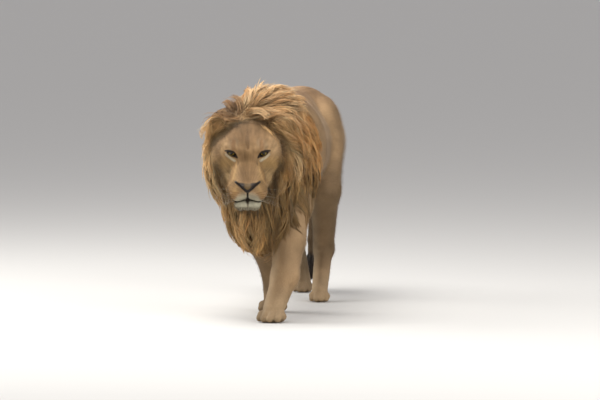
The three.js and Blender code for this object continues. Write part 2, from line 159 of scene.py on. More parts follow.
def melt(softness, *shapes):
    """Shapes joined with soft fillets."""
    low = np.min([shape.low for shape in shapes], axis=0) - softness / 4
    high = np.max([shape.high for shape in shapes], axis=0) + softness / 4

    def at(x, y, z):
        nearest = np.full(np.broadcast_shapes(x.shape, y.shape, z.shape), FAR, np.float32)
        for shape in shapes:
            index, axes = shape.near(x, y, z)
            before = nearest[index]
            distance = shape.at(*axes)
            depth = fillet(before, distance, softness)
            nearest[index] = np.minimum(before, distance) - depth
        return nearest

    return Shape(at, low, high)


def carve(body, softness, *tools):
    """A shape with others cut out of it, their edges rounded."""

    def at(x, y, z):
        result = body.at(x, y, z).copy()
        for tool in tools:
            index, axes = tool.near(x, y, z)
            before = result[index]
            distance = -tool.at(*axes)
            depth = fillet(before, distance, softness)
            result[index] = np.maximum(before, distance) + depth
        return result

    return Shape(at, body.low, body.high)


def inset(shape, depth):
    """A shape made thinner all round."""
    return Shape(lambda x, y, z: shape.at(x, y, z) + depth, shape.low + depth, shape.high - depth)


def pair(make):
    """A right and a left copy."""
    return [make(-1), make(1)]


def twin_lumps(centre, radii):
    """Egg shapes on the right and the left."""
    return pair(lambda side: lump((side * centre[0], *centre[1:]), radii))


def twin_bones(start, end, *radii):
    """Bars on the right and the left."""
    return pair(
        lambda side: bone((side * start[0], *start[1:]), (side * end[0], *end[1:]), *radii)
    )


def distance_at(shape, points):
    """Distances of a list of points."""
    points = np.asarray(points, np.float64)
    return shape.at(points[:, 0], points[:, 1], points[:, 2])


def slope_at(shape, points):
    """Unit outward directions of a shape at a list of points."""
    slope = np.empty_like(points)
    for axis in range(3):
        shift = np.zeros(3)
        shift[axis] = PROBE
        slope[:, axis] = distance_at(shape, points + shift) - distance_at(shape, points - shift)
    return slope / np.maximum(np.linalg.norm(slope, axis=1, keepdims=True), 1e-6)


def smooth(low, high, value):
    """Zero below low, one above high, and a soft step between."""
    share = np.clip((value - low) / (high - low), 0, 1)
    return share * share * (3 - 2 * share)


def unit(vectors):
    """Vectors made one long."""
    length = np.linalg.norm(vectors, axis=-1, keepdims=True)
    return vectors / np.maximum(length, 1e-9)


def columns(*parts):
    """Numbers, or lists with one number for each point, side by side."""
    return np.stack(np.broadcast_arrays(*parts), axis=-1)


def blend(one, other, share):
    """One value or list going over into another by a share."""
    return one * (1 - share) + other * share


def swung(directions, normals, angle):
    """Directions turned about the surface's outward directions."""
    return directions * np.cos(angle) + np.cross(normals, directions) * np.sin(angle)


# ------------------------------------------------------------------ the animal's shape

BACK_HEIGHT = 972
BELLY_HEIGHT = 476
RIB_HALF_WIDTH = 212
LOIN_RADIUS = 96
RUMP_RADIUS = 158
RUMP_Y = 535
MANE_BACK_Y = -235
MANE_LEAN = 0.3
MANE_HALF_WIDTH = 226

EYES_AT = (-13, -935, 756)
HEAD_TURN = 9
HEAD_DROP = 24
EYE_SPREAD = 72
EYE_FORWARD = 2
EYE_RADIUS = 19
EAR_SPREAD = 138
EAR_BACK = 140
EAR_RISE = 66
EAR_RADII = (43, 22, 46)

FORELEGS = {
    1: {
        "shoulder": (128, -530, 640),
        "elbow": (128, -500, 500),
        "mid_arm": (117, -590, 345),
        "wrist": (114, -690, 196),
        "ball": (76, -770, 58),
        "toes": (46, -846, 30),
    },
    -1: {
        "shoulder": (-130, -490, 640),
        "elbow": (-116, -430, 505),
        "mid_arm": (-44, -362, 345),
        "wrist": (10, -296, 192),
        "ball": (4, -285, 58),
        "toes": (-12, -362, 30),
    },
}
HINDLEGS = {
    1: {
        "hip": (112, 500, 790),
        "knee": (140, 330, 500),
        "hock": (122, 440, 225),
        "ball": (128, 272, 52),
        "toes": (132, 200, 26),
    },
    -1: {
        "hip": (-112, 520, 790),
        "knee": (-122, 455, 480),
        "hock": (-52, 690, 258),
        "ball": (-22, 765, 52),
        "toes": (-20, 692, 26),
    },
}
FOREPAW = {"width": 130, "toe_radius": 20, "pad": (60, 52, 34)}
HINDPAW = {"width": 98, "toe_radius": 17, "pad": (45, 46, 32)}
TAIL_LINE = (
    (0, 640, 900),
    (0, 722, 850),
    (2, 790, 700),
    (6, 830, 520),
    (8, 850, 340),
    (6, 845, 240),
    (4, 830, 112),
)
TAIL_RADIUS = 26
TAIL_TAPER = 0.34

BODY_COAT = 7  # depth of the hair on the trunk
LEG_COAT = 4
PAW_COAT = 2.5
FACE_COAT = 2.5
# The skin under the mane is painted dark, as shade.
MANE_DEPTH = 44  # from the tips of the mane to the woolly layer under it


def beside(point, dx, dy, dz):
    """A point moved a little."""
    return (point[0] + dx, point[1] + dy, point[2] + dz)


def paw_shapes(leg, paw):
    """The pad and four toes of a paw, the middle two longest."""
    ball = np.array(leg["ball"], float)
    toes = np.array(leg["toes"], float)
    forward = unit((toes - ball) * (1, 1, 0))
    across = np.array((-forward[1], forward[0], 0))
    radius = paw["toe_radius"]
    pitch = (paw["width"] - 2 * radius) / 3
    shapes = [lump((ball[0], ball[1] + 2, 25), paw["pad"])]
    for place in (-1.5, -0.5, 0.5, 1.5):
        set_back = radius + (20 if abs(place) > 1 else 2)
        root = ball + forward * 6 + across * place * pitch
        tip = toes - forward * set_back + across * place * pitch
        root[2] = radius + 8
        tip[2] = radius - 1
        knuckle = root * 0.42 + tip * 0.58
        knuckle[2] = radius + 14
        shapes.append(bone(root, knuckle, radius + 2, radius - 1))
        shapes.append(bone(knuckle, tip, radius - 1, radius - 1.5))
    return shapes


def foreleg(leg):
    """A foreleg out to the tips of its hair."""
    shoulder, elbow, mid_arm = leg["shoulder"], leg["elbow"], leg["mid_arm"]
    wrist, ball = leg["wrist"], leg["ball"]
    arm = melt(
        30,
        bone(shoulder, elbow, 88, 78),
        lump(beside(shoulder, 0, 66, -20), (66, 96, 116)),
        bone(elbow, mid_arm, 80, 72),
        bone(mid_arm, wrist, 74, 62),
        bone(wrist, ball, 61, 50),
        lump(beside(wrist, 0, 46, -14), (20, 18, 20)),
    )
    return melt(12, inset(arm, LEG_COAT), inset(melt(5, *paw_shapes(leg, FOREPAW)), PAW_COAT))


def hindleg(side, leg):
    """A hind leg out to the tips of its hair."""
    hip, knee, hock, ball = leg["hip"], leg["knee"], leg["hock"], leg["ball"]
    ham_top = beside(hip, side * -4, 86, -70)
    ham_end = beside(knee, side * -8, 96, -40)
    limb = melt(
        34,
        lump(beside(hip, 0, 0, -50), (88, 170, 180)),
        bone(beside(hip, side * 6, -60, -90), knee, 96, 76),
        bone(ham_top, ham_end, 88, 52),
        bone(knee, hock, 72, 42),
        bone(beside(knee, side * -6, 70, -30), hock, 58, 34),
        lump(beside(hock, 0, 26, 14), (27, 26, 36)),
        bone(hock, ball, 44, 40),
    )
    return melt(12, inset(limb, LEG_COAT), inset(melt(5, *paw_shapes(leg, HINDPAW)), PAW_COAT))


def trunk_shape():
    """Chest, ribs, belly, loin and rump."""
    middle = (BACK_HEIGHT + BELLY_HEIGHT) / 2
    depth = (BACK_HEIGHT - BELLY_HEIGHT) / 2
    loin_height = BACK_HEIGHT - LOIN_RADIUS
    rump_height = BACK_HEIGHT - RUMP_RADIUS
    return melt(
        50,
        lump((0, -330, middle + 8), (RIB_HALF_WIDTH - 20, 250, depth)),
        lump((0, -60, middle), (RIB_HALF_WIDTH, 330, depth)),
        lump((0, 215, middle - 8), (RIB_HALF_WIDTH - 26, 290, depth - 32)),
        bone((0, -250, loin_height), (0, 420, loin_height - 4), LOIN_RADIUS),
        lump((0, RUMP_Y, rump_height), (RUMP_RADIUS, 195, RUMP_RADIUS)),
    )


def mane_shape():
    """The whole mane, out to the tips of its hair."""
    return melt(
        60,
        lump((-14, -730, 752), (MANE_HALF_WIDTH + 8, 168, 240), 12),
        lump((58, -685, 912), (152, 160, 140)),
        lump((-84, -712, 862), (130, 144, 112)),
        lump((0, -560, 735), (MANE_HALF_WIDTH, 230, 268), -6),
        lump((0, -400, 760), (MANE_HALF_WIDTH - 6, 190, 236), -10),
        lump((-54, -690, 640), (190, 134, 128)),
        lump((146, -450, 640), (94, 130, 120)),
        lump((-10, -655, 520), (166, 132, 240), -8),
        bone((0, -640, 900), (0, -200, 878), 100, 94),
        bone((-190, -752, 848), (-244, -780, 834), 40, 14),
    )


def mane_edge():
    """Everything behind the slanting back edge of the mane."""
    facing = np.array((0, 1, -MANE_LEAN))
    facing /= np.linalg.norm(facing)

    def at(x, y, z):
        flat = facing[1] * (y - MANE_BACK_Y) + facing[2] * (z - BACK_HEIGHT)
        return -flat + 0 * x

    return Shape(at, (-400, MANE_BACK_Y - 300, 0), (400, 900, 1200))


def tail_shape():
    """The tail down to its tip, without the tuft."""
    count = len(TAIL_LINE)
    radii = [TAIL_RADIUS * (1 - TAIL_TAPER * knot / count) for knot in range(count)]
    bones = [
        bone(TAIL_LINE[knot], TAIL_LINE[knot + 1], radii[knot], radii[knot + 1])
        for knot in range(count - 1)
    ]
    return melt(16, *bones)


TRUNK = trunk_shape()
FORELEG_SHAPES = {side: foreleg(leg) for side, leg in FORELEGS.items()}
HINDLEG_SHAPES = {side: hindleg(side, leg) for side, leg in HINDLEGS.items()}
TAIL = tail_shape()
MANE = carve(mane_shape(), 30, mane_edge())
FLANK_HOLLOWS = twin_lumps((246, 300, 690), (50, 80, 110))
BARE_TRUNK = carve(inset(TRUNK, BODY_COAT), 40, *FLANK_HOLLOWS)
LIMBS = melt(30, *FORELEG_SHAPES.values(), *HINDLEG_SHAPES.values())
UNDER_MANE = inset(MANE, MANE_DEPTH)
BODY_SKIN = melt(30, melt(34, BARE_TRUNK, LIMBS), inset(TAIL, 4), UNDER_MANE)


# ------------------------------------------------------------------ the head
# The head's own frame has its origin midway between the eyes and -Y forward along the muzzle.

HEAD_PLACE = np.array(
    Matrix.Translation(EYES_AT)
    @ Matrix.Rotation(math.radians(HEAD_TURN), 4, "Z")
    @ Matrix.Rotation(math.radians(HEAD_DROP), 4, "X")
)
HEAD_INVERSE = np.linalg.inv(HEAD_PLACE)


def from_head(points):
    """Points of the head's frame in the body's frame."""
    return np.asarray(points, float) @ HEAD_PLACE[:3, :3].T + HEAD_PLACE[:3, 3]


def to_head(points):
    """Points of the body's frame in the head's frame."""
    return np.asarray(points, float) @ HEAD_INVERSE[:3, :3].T + HEAD_INVERSE[:3, 3]


def turned_egg(centre, radii, about_y, about_z):
    """An egg shape turned about Z, then about Y."""
    turn = Matrix.Rotation(about_y, 3, "Y") @ Matrix.Rotation(about_z, 3, "Z")
    back = np.array(turn.transposed())
    egg = lump((0, 0, 0), radii)
    reach = max(radii)
    centre = np.asarray(centre, float)

    def at(x, y, z):
        dx, dy, dz = x - centre[0], y - centre[1], z - centre[2]
        local = [row[0] * dx + row[1] * dy + row[2] * dz for row in back]
        return egg.at(*local)

    return Shape(at, centre - reach, centre + reach)


EYE_RISE = 6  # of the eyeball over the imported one
EYE_PUSH = 1.0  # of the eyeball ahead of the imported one
LID_RADII = (24.5, 23.5, 23)
IRIS_EDGE = math.radians(62)  # from the middle of the pupil to where the iris ends
EYE_SLANT = math.radians(18)  # the outer corner is the higher one
EYE_HALF_LENGTH = 20
UPPER_SLANT = math.radians(9)
LOWER_SLANT = math.radians(30)
UPPER_LID = 6.0  # rise of the upper lid over the line between the corners
LOWER_LID = 9.5


def eye_axes(side):
    """Centre of an eyeball, and the directions along and across its opening."""
    centre = np.array((side * EYE_SPREAD, -EYE_FORWARD - EYE_PUSH, EYE_RISE))
    along = np.array((side * math.cos(EYE_SLANT), 0, math.sin(EYE_SLANT)))
    across = np.array((-side * math.sin(EYE_SLANT), 0, math.cos(EYE_SLANT)))
    return centre, along, across


def lid_opening(side):
    """The gap between the lids, as a bar running forward out of the eyeball."""
    centre = eye_axes(side)[0]
    upper_radius = (EYE_HALF_LENGTH**2 + UPPER_LID**2) / (2 * UPPER_LID)
    lower_radius = (EYE_HALF_LENGTH**2 + LOWER_LID**2) / (2 * LOWER_LID)

    def across_lid(dx, dz, slant):
        return dz * math.cos(slant) - side * dx * math.sin(slant)

    def along_lid(dx, dz, slant):
        return side * dx * math.cos(slant) + dz * math.sin(slant)

    def at(x, y, z):
        dx, dz = x - centre[0], z - centre[2]
        u, v = along_lid(dx, dz, UPPER_SLANT), across_lid(dx, dz, UPPER_SLANT)
        upper = np.sqrt(u * u + (v + upper_radius - UPPER_LID) ** 2) - upper_radius
        u, v = along_lid(dx, dz, LOWER_SLANT), across_lid(dx, dz, LOWER_SLANT)
        lower = np.sqrt(u * u + (v - lower_radius + LOWER_LID) ** 2) - lower_radius
        return np.maximum(np.maximum(upper, lower), y - centre[1])

    reach = EYE_HALF_LENGTH + 6
    return Shape(at, centre - (reach, 90, reach), centre + (reach, 0, reach))


# Lines of the face as seen from straight ahead: across from the middle, and up from the eyes.
DROP = math.radians(HEAD_DROP)
AHEAD_UP = np.array((0, math.sin(DROP), math.cos(DROP)))
AHEAD_IN = np.array((0, math.cos(DROP), -math.sin(DROP)))
NOSE_LINE = [(0, -167), (12, -158), (25, -147), (40, -134), (53, -124)]
PARTING_LINE = [(0, -166), (0, -198)]
MOUTH_LINE = [(0, -200), (14, -201), (30, -206), (46, -210), (60, -209), (70, -204)]
CHIN_LINE = [(0, -204), (0, -244)]


def from_ahead(shape, line, side=1, sink=0.0):
    """Points on, or nearest to, a shape's surface under a line drawn from straight ahead."""
    found = []
    depths = np.arange(-260, 60, 1.0)
    for across, height in line:
        spots = side * across * np.array((1, 0, 0)) + height * AHEAD_UP
        spots = spots + depths[:, None] * AHEAD_IN
        distance = distance_at(shape, spots)
        first = np.argmax(distance < 0) if distance.min() < 0 else distance.argmin()
        found.append(spots[first] + sink * AHEAD_IN)
    return found


def chain(points, *radii):
    """A bent bar through points."""
    bars = [
        bone(points[index], points[index + 1], radii[index], radii[index + 1])
        for index in range(len(points) - 1)
    ]
    return melt(4, *bars)


def head_skin():
    """The whole head without its hair: skull, muzzle, jaw, lids, lips, nose and ears."""
    skull = melt(
        34,
        lump((0, 118, -12), (126, 150, 98)),
        lump((0, 64, 12), (106, 88, 62)),
        *twin_lumps((62, 40, 24), (46, 44, 31)),
        *twin_lumps((96, 88, -40), (54, 92, 70)),
        *twin_lumps((78, 84, -104), (50, 92, 70)),
        *twin_bones((54, 4, -56), (84, 60, -66), 34, 50),
    )
    muzzle = melt(
        24,
        lump((0, -100, -100), (66, 92, 56)),
        *twin_bones((17, 4, -36), (19, -146, -90), 36, 33),
        *twin_lumps((44, -66, -82), (36, 70, 40)),
        *twin_lumps((45, -128, -116), (44, 60, 48)),
    )
    jaw = melt(
        16,
        *twin_lumps((31, -130, -172), (31, 46, 37)),
        lump((0, -126, -173), (30, 46, 36)),
        *twin_bones((60, 10, -124), (24, -104, -162), 50, 36),
    )
    bare = inset(melt(20, skull, muzzle), FACE_COAT)
    bare = melt(6, bare, inset(jaw, FACE_COAT))
    brow_ridges = twin_bones((34, -17, 22), (90, 4, 27), 12, 10)
    nose = melt(
        10,
        bone((0, -150, -82), (0, -178, -86), 24, 19),
        *twin_bones((14, -176, -78), (42, -156, -70), 17, 12),
    )
    fleshed = melt(12, bare, *brow_ridges)
    fleshed = melt(7, fleshed, nose)
    lids = pair(lambda side: lump(eye_axes(side)[0] - (0, 0, 0.5), LID_RADII))
    fleshed = melt(9, fleshed, *lids)
    inner_corners = twin_bones((49, -30, -6), (40, -44, -20), 5, 4)
    crease = chain([(0, 4, 76), (-2, -14, 50), (0, -22, 28)], 4, 3, 2)
    fleshed = carve(fleshed, 10, *inner_corners, crease)
    nostrils = pair(
        lambda side: chain(from_ahead(fleshed, NOSE_LINE[1:], side, 1), 4.5, 5.5, 6, 3.5)
    )
    parting = chain(from_ahead(fleshed, PARTING_LINE), 3, 5)
    lips = pair(
        lambda side: chain(from_ahead(fleshed, MOUTH_LINE[:5], side, 1), 5.5, 4, 3.5, 3, 2.5)
    )
    chin_furrow = chain(from_ahead(fleshed, CHIN_LINE[:1] + [(0, -228)]), 4, 2)
    fleshed = carve(fleshed, 4, *nostrils, parting, *lips, chin_furrow)
    openings = pair(lid_opening)
    sockets = pair(lambda side: lump(eye_axes(side)[0], (EYE_RADIUS + 0.4,) * 3))
    fleshed = carve(fleshed, 1.5, *openings, *sockets)
    outer = pair(lambda side: ear_egg(side, 0, 0, 1))
    hollow = pair(lambda side: ear_egg(side, 14, 5, 0.84))
    ears = carve(melt(6, *outer), 5, *hollow)
    return melt(16, fleshed, ears)


def ear_egg(side, forward, rise, share):
    """An egg the size of an ear, or a share of it, facing outwards."""
    centre = (side * (EAR_SPREAD - 8), EAR_BACK - forward, EAR_RISE + rise - 4)
    radii = [(radius - 5) * share for radius in EAR_RADII]
    return turned_egg(centre, radii, side * 0.5, side * 0.35)


HEAD_SKIN = head_skin()


def in_body_frame(shape):
    """A shape of the head, asked for in the body's frame."""
    corners = from_head(list(product(*zip(shape.low, shape.high))))

    def at(x, y, z):
        x, y, z = np.broadcast_arrays(x, y, z)
        points = to_head(columns(x.ravel(), y.ravel(), z.ravel()))
        return shape.at(points[:, 0], points[:, 1], points[:, 2]).reshape(x.shape)

    return Shape(at, corners.min(0), corners.max(0))


WHOLE_SKIN = melt(12, BODY_SKIN, in_body_frame(HEAD_SKIN))
EAR_HUMPS = in_body_frame(melt(6, *twin_lumps((134, 116, 66), (66, 70, 66))))
ENVELOPE = melt(28, MANE, TRUNK, *FORELEG_SHAPES.values(), EAR_HUMPS)


# ------------------------------------------------------------------ meshes


def frame_shift():
    """From the body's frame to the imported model's, read off a packed eye."""
    low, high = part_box("eye_left")
    return np.array(low + high) / 2 / METRES - from_head([(EYE_SPREAD, -EYE_FORWARD, 0)])[0]


SHIFT = frame_shift()


def to_scene(points):
    """Points of the body's frame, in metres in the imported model's frame."""
    return (np.asarray(points) + SHIFT) * METRES


def from_scene(points):
    """Points of the scene in the body's frame."""
    return np.asarray(points) / METRES - SHIFT


def grid_line(*stops):
    """Positions along one side of a grid. Each stop is (end, step); the first is a start."""
    start = stops[0][0]
    line = [np.array([start], float)]
    for end, step in stops[1:]:
        count = max(1, round((end - start) / step))
        line.append(np.linspace(start, end, count + 1)[1:])
        start = end
    return np.concatenate(line)


def untangle(field):
    """Clears the grid faces where two parts of a shape would touch along one edge."""
    for _ in range(6):
        clear = True
        for one, other in ((0, 1), (0, 2), (1, 2)):
            corners = []
            for first, second in ((0, 0), (0, 1), (1, 0), (1, 1)):
                part = [slice(None)] * 3
                part[one] = slice(first, first - 1 or None)
                part[other] = slice(second, second - 1 or None)
                corners.append(field[tuple(part)])
            inside = [corner < 0 for corner in corners]
            for near, far in ((0, 3), (1, 2)):
                one_side, other_side = (1, 2) if near == 0 else (0, 3)
                crossed = inside[near] & inside[far]
                crossed &= ~inside[one_side] & ~inside[other_side]
                if crossed.any():
                    clear = False
                    corners[near][crossed] = 1e-3
        if clear:
            break
    return field


def surface_nets(shape, lines):
    """A closed mesh of quads on a shape's surface: one point in each grid cell that it crosses."""
    x, y, z = lines
    field = shape.at(x[:, None, None], y[None, :, None], z[None, None, :])
    field = untangle(np.where(field == 0, 1e-4, field))
    size = np.array(field.shape) - 1
    cells = []
    crossings = []
    quads = []
    for axis in range(3):
        lower = [slice(None)] * 3
        upper = [slice(None)] * 3
        lower[axis] = slice(None, -1)
        upper[axis] = slice(1, None)
        before, after = field[tuple(lower)], field[tuple(upper)]
        edge = np.argwhere((before < 0) != (after < 0))
        start, end = before[tuple(edge.T)], after[tuple(edge.T)]
        share = start / (start - end)
        point = np.stack([line[edge[:, side]] for side, line in enumerate(lines)], axis=1)
        point[:, axis] += share * np.diff(lines[axis])[edge[:, axis]]
        first, second = (axis + 1) % 3, (axis + 2) % 3
        around = []
        for back_first, back_second in ((0, 0), (1, 0), (1, 1), (0, 1)):
            cell = edge.copy()
            cell[:, first] -= back_first
            cell[:, second] -= back_second
            around.append(np.ravel_multi_index(cell.T, size, mode="clip"))
        around = np.stack(around, axis=1)
        flipped = start < 0
        around[flipped] = around[flipped][:, ::-1]
        quads.append(around)
        cells.append(around.ravel())
        crossings.append(np.repeat(point, 4, axis=0))
    cells = np.concatenate(cells)
    crossings = np.concatenate(crossings)
    used, place = np.unique(cells, return_inverse=True)
    count = np.bincount(place)
    points = np.stack(
        [np.bincount(place, weights=crossings[:, side]) / count for side in range(3)], axis=1
    )
    faces = np.searchsorted(used, np.concatenate(quads))
    return points, faces[:, ::-1]


def settle(shape, points, reach):
    """Moves points onto a shape's surface, none of them further than reach."""
    start = points.copy()
    for _ in range(3):
        step = distance_at(shape, points)[:, None] * slope_at(shape, points)
        points = points - np.clip(step, -reach / 2, reach / 2)
    return start + np.clip(points - start, -reach, reach)


def place_object(name, data):
    """An object in the scene, at its origin."""
    thing = bpy.data.objects.new(name, data)
    bpy.context.scene.collection.objects.link(thing)
    return thing


def mesh_of(name, points):
    """A mesh with only its points, given in the body's frame."""
    mesh = bpy.data.meshes.new(name)
    mesh.vertices.add(len(points))
    mesh.vertices.foreach_set("co", to_scene(points).astype(np.float32).ravel())
    return mesh


def mesh_object(name, points, faces):
    """A mesh object from points in the body's frame and an array of faces."""
    mesh = mesh_of(name, points)
    faces = np.asarray(faces, np.int32)
    corners = faces.shape[1]
    mesh.loops.add(faces.size)
    mesh.loops.foreach_set("vertex_index", faces.ravel())
    mesh.polygons.add(len(faces))
    mesh.polygons.foreach_set("loop_start", np.arange(0, faces.size, corners, dtype=np.int32))
    mesh.update(calc_edges=True)
    mesh.validate()
    mesh.shade_smooth()
    return place_object(name, mesh)


def read_rows(items, field, width, kind=np.float32):
    """Values of a mesh's points, corners or triangles, one row of numbers for each."""
    values = np.empty(len(items) * width, kind)
    items.foreach_get(field, values)
    return values.reshape(-1, width)


def mesh_points(mesh):
    """A mesh's points, and the outward directions there."""
    points = read_rows(mesh.vertices, "co", 3).astype(float)
    return from_scene(points), read_rows(mesh.vertex_normals, "vector", 3).astype(float)


def keep_attribute(mesh, name, kind, values):
    """Stores one value for each point of a mesh."""
    attribute = mesh.attributes.get(name) or mesh.attributes.new(name, kind, "POINT")
    field = {"FLOAT_COLOR": "color", "FLOAT": "value", "QUATERNION": "value"}.get(kind, "vector")
    values = np.asarray(values, np.float32)
    if kind == "FLOAT_COLOR":
        values = np.concatenate((values, np.ones((len(values), 1), np.float32)), axis=1)
    attribute.data.foreach_set(field, values.ravel())


def finish_piece(piece, replaced=()):
    """Hangs a piece on the body's empty, and hides the imported parts that it replaces."""
    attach(piece, BODY)
    if replaced:
        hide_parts(*replaced)


# ------------------------------------------------------------------ colours of the coat

TAWNY_BACK = np.array((0.34, 0.205, 0.11))
BELLY_FUR = np.array((0.44, 0.33, 0.2))
CREAM = np.array((0.3, 0.272, 0.195))
TEMPLE = np.array((0.37, 0.235, 0.115))
UNDER_EYE = np.array((0.42, 0.37, 0.26))
CHIN_WHITE = np.array((0.37, 0.34, 0.245))
LEATHER = np.array((0.022, 0.015, 0.011))
LEATHER_TOP = np.array((0.11, 0.066, 0.024))
DARK_SKIN = np.array((0.016, 0.011, 0.008))
TEAR_LINE = np.array((0.085, 0.052, 0.03))
CHEEK = np.array((0.262, 0.16, 0.063))
FOREHEAD = np.array((0.176, 0.103, 0.048))
BRIDGE = np.array((0.162, 0.092, 0.038))
PAD_TAWNY = np.array((0.4, 0.245, 0.105))
FACE_TAWNY = np.array((0.27, 0.164, 0.077))
STROKE = np.array((0.2, 0.1, 0.04))
MANE_PALE = np.array((0.76, 0.52, 0.245))
MANE_LIGHTEST = np.array((0.8, 0.54, 0.27))
MANE_DARK = np.array((0.11, 0.065, 0.02))
# Painted shade for the skin far under the mane.
MANE_INNER_SHADE = np.array((0.09, 0.05, 0.02))
TAIL_DARK = np.array((0.03, 0.019, 0.012))


def tint(base, colour, amount):
    """Mixes a colour into others."""
    return base + (colour - base) * np.asarray(amount)[:, None]


def tinted(colour, layers):
    """Mixes colours into others one after another, each by its own amount."""
    for shade, amount in layers:
        colour = tint(colour, shade, amount)
    return colour


WAVES = 14


def mottle(points, sizes, seed):
    """Soft random mottling about zero, of the given size in millimetres along each axis."""
    chance = np.random.default_rng(seed)
    value = np.zeros(len(points))
    for _ in range(WAVES):
        wave = chance.normal(0, 1, 3) * 2.2 / np.asarray(sizes)
        value += np.sin(points @ wave + chance.uniform(0, 6.28))
    return value / 2.6


def patch(points, centre, radii):
    """How much each point lies in an egg-shaped patch."""
    reach = np.linalg.norm((points - centre) / radii, axis=1)
    return 1 - smooth(0.65, 1.35, reach)


def stripe(points, line, width):
    """How much each point lies on a soft line through points, of a width in millimetres."""
    nearest = np.full(len(points), np.inf)
    for start, end in zip(line, line[1:]):
        nearest = np.minimum(nearest, bone(start, end, 0).at(*points.T))
    return 1 - smooth(width * 0.35, width, nearest)


def body_colour(points, normals, coat):
    """The short coat's colour on the trunk, legs and tail."""
    x, y, z = points.T
    under = smooth(0.35, 0.95, -normals[:, 2])
    inner_leg = smooth(0.2, 0.8, -normals[:, 0] * np.sign(x)) * smooth(620, 420, z)
    pale = (
        (TAWNY_BACK, smooth(840, 970, z) * 0.8),
        (BELLY_FUR, under * smooth(420, 520, z) * 0.8),
        (BELLY_FUR, inner_leg * 0.45),
        (BELLY_FUR, smooth(190, 60, z) * 0.35),
    )
    colour = tinted(np.tile(coat, (len(points), 1)), pale)
    tail = smooth(200, 160, z) * smooth(800, 812, y) * smooth(60, 80, z)
    tail *= smooth(40, 30, np.hypot(x - 6, y - 845))
    # Painted shade on the hind legs.
    hind = smooth(100, 300, y) * smooth(760, 420, z) * smooth(60, 220, z)
    # Painted shadow of the body on the legs of the lion's right side.
    far_leg_shade = smooth(60, 20, x) * smooth(560, 420, z)
    legs = smooth(640, 480, z) * smooth(-10, 60, x)
    colour = colour * (1 - 0.48 * hind)[:, None] * (1 - 0.4 * far_leg_shade)[:, None]
    colour = colour * (1 - 0.14 * legs)[:, None]
    streaks = mottle(points, (60, 60, 24), BACK_STREAK_SEED) * smooth(420, 560, z)
    streaks += mottle(points, (22, 26, 70), LEG_STREAK_SEED) * smooth(560, 420, z)
    shade = 1 + 0.03 * streaks + 0.05 * mottle(points, (70, 90, 70), BODY_MOTTLE_SEED)
    return tint(colour * shade[:, None], TAIL_DARK, tail)


def front_height(q):
    """Height over the eyes as seen from straight ahead, with the head hanging as it does."""
    return q @ AHEAD_UP


def drawn(q, line, width, front=-60):
    """How much points lie on a line drawn from straight ahead, on either side of the face."""
    flat = columns(np.abs(q[:, 0]), front_height(q), 0)
    flat_line = [(across, height, 0) for across, height in line]
    return stripe(flat, flat_line, width) * smooth(front + 10, front - 10, q[:, 1])


# Half width of the bare-looking face at heights seen from straight ahead.
FACE_HEIGHTS = (-235, -170, -130, -108, -88, -60, 0, 40, 90, 118, 140, 165)
FACE_WIDTHS = (56, 84, 92, 105, 122, 140, 154, 147, 108, 76, 42, 2)

FACE_LEAN = 10  # the bare-looking face lies this far to the lion's left
FOREHEAD_COVER = 3  # more hair over the forehead's edge on the lion's right


def past_face(q):
    """How far points lie outside the face's edge, in millimetres, negative on the face."""
    covered = FOREHEAD_COVER * smooth(60, 120, front_height(q))
    edge = np.interp(front_height(q), FACE_HEIGHTS, FACE_WIDTHS) - covered
    under = smooth(-60, -20, q[:, 1]) * smooth(-150, -185, q[:, 2]) * 60
    return np.maximum(np.abs(q[:, 0] - FACE_LEAN - covered) - edge, q[:, 1] - 130) + under


def swept_edge_shadow(q):
    """The painted shadow under the mane's swept edge, beside the forehead on the lion's right."""
    height = front_height(q)
    past = past_face(q) + 12 * smooth(30, 80, height)
    gap = smooth(-8, 4, past) * smooth(50, 20, past)
    return gap * smooth(0, 40, height) * smooth(20, -30, q[:, 0])


def nose_mask(q):
    """The bare leather of the nose, and the two dark slits that run down to its point."""
    height = front_height(q)
    across = np.abs(q[:, 0])
    low = np.interp(across, *zip(*NOSE_LINE))
    high = -127 + 0.1 * across
    ahead = smooth(-138, -150, q[:, 1])
    leather = smooth(low - 5, low + 1, height) * smooth(high + 4, high - 3, height)
    leather *= smooth(58, 53, across) * ahead
    girth = np.interp(across, (0, 20, 48, 60), (9, 9, 7.5, 4))
    slit = smooth(1.0, 0.6, np.abs(height - low - 5) / girth) * smooth(61, 55, across) * ahead
    return leather, slit


def cheek_crease_shade(q):
    """Painted shade in the hollow between the jaw and the mane, and in the one under the chin."""
    line = [(146, -68), (130, -100), (116, -150), (104, -195), (70, -262), (0, -268)]
    return drawn(q, line, 30, 400)


def lid_rim(q):
    """The bare dark skin round the eye, seen from straight ahead, on either side of the face."""
    upper = [(97, 8), (88, 10), (76, 9.5), (62, 5), (53, -5), (46, -21)]
    lower = [(90, 4), (82, -6), (70, -13), (58, -17), (47, -20)]
    rim = np.maximum(drawn(q, upper, 5.5, 20), drawn(q, lower, 4.5, 20))
    across, height = np.abs(q[:, 0]), front_height(q)
    hole = np.hypot((across - 71) / 22, (height + 3 - 0.35 * (across - 72)) / 12)
    return np.maximum(rim, smooth(1.1, 0.85, hole) * smooth(20, 0, q[:, 1]))


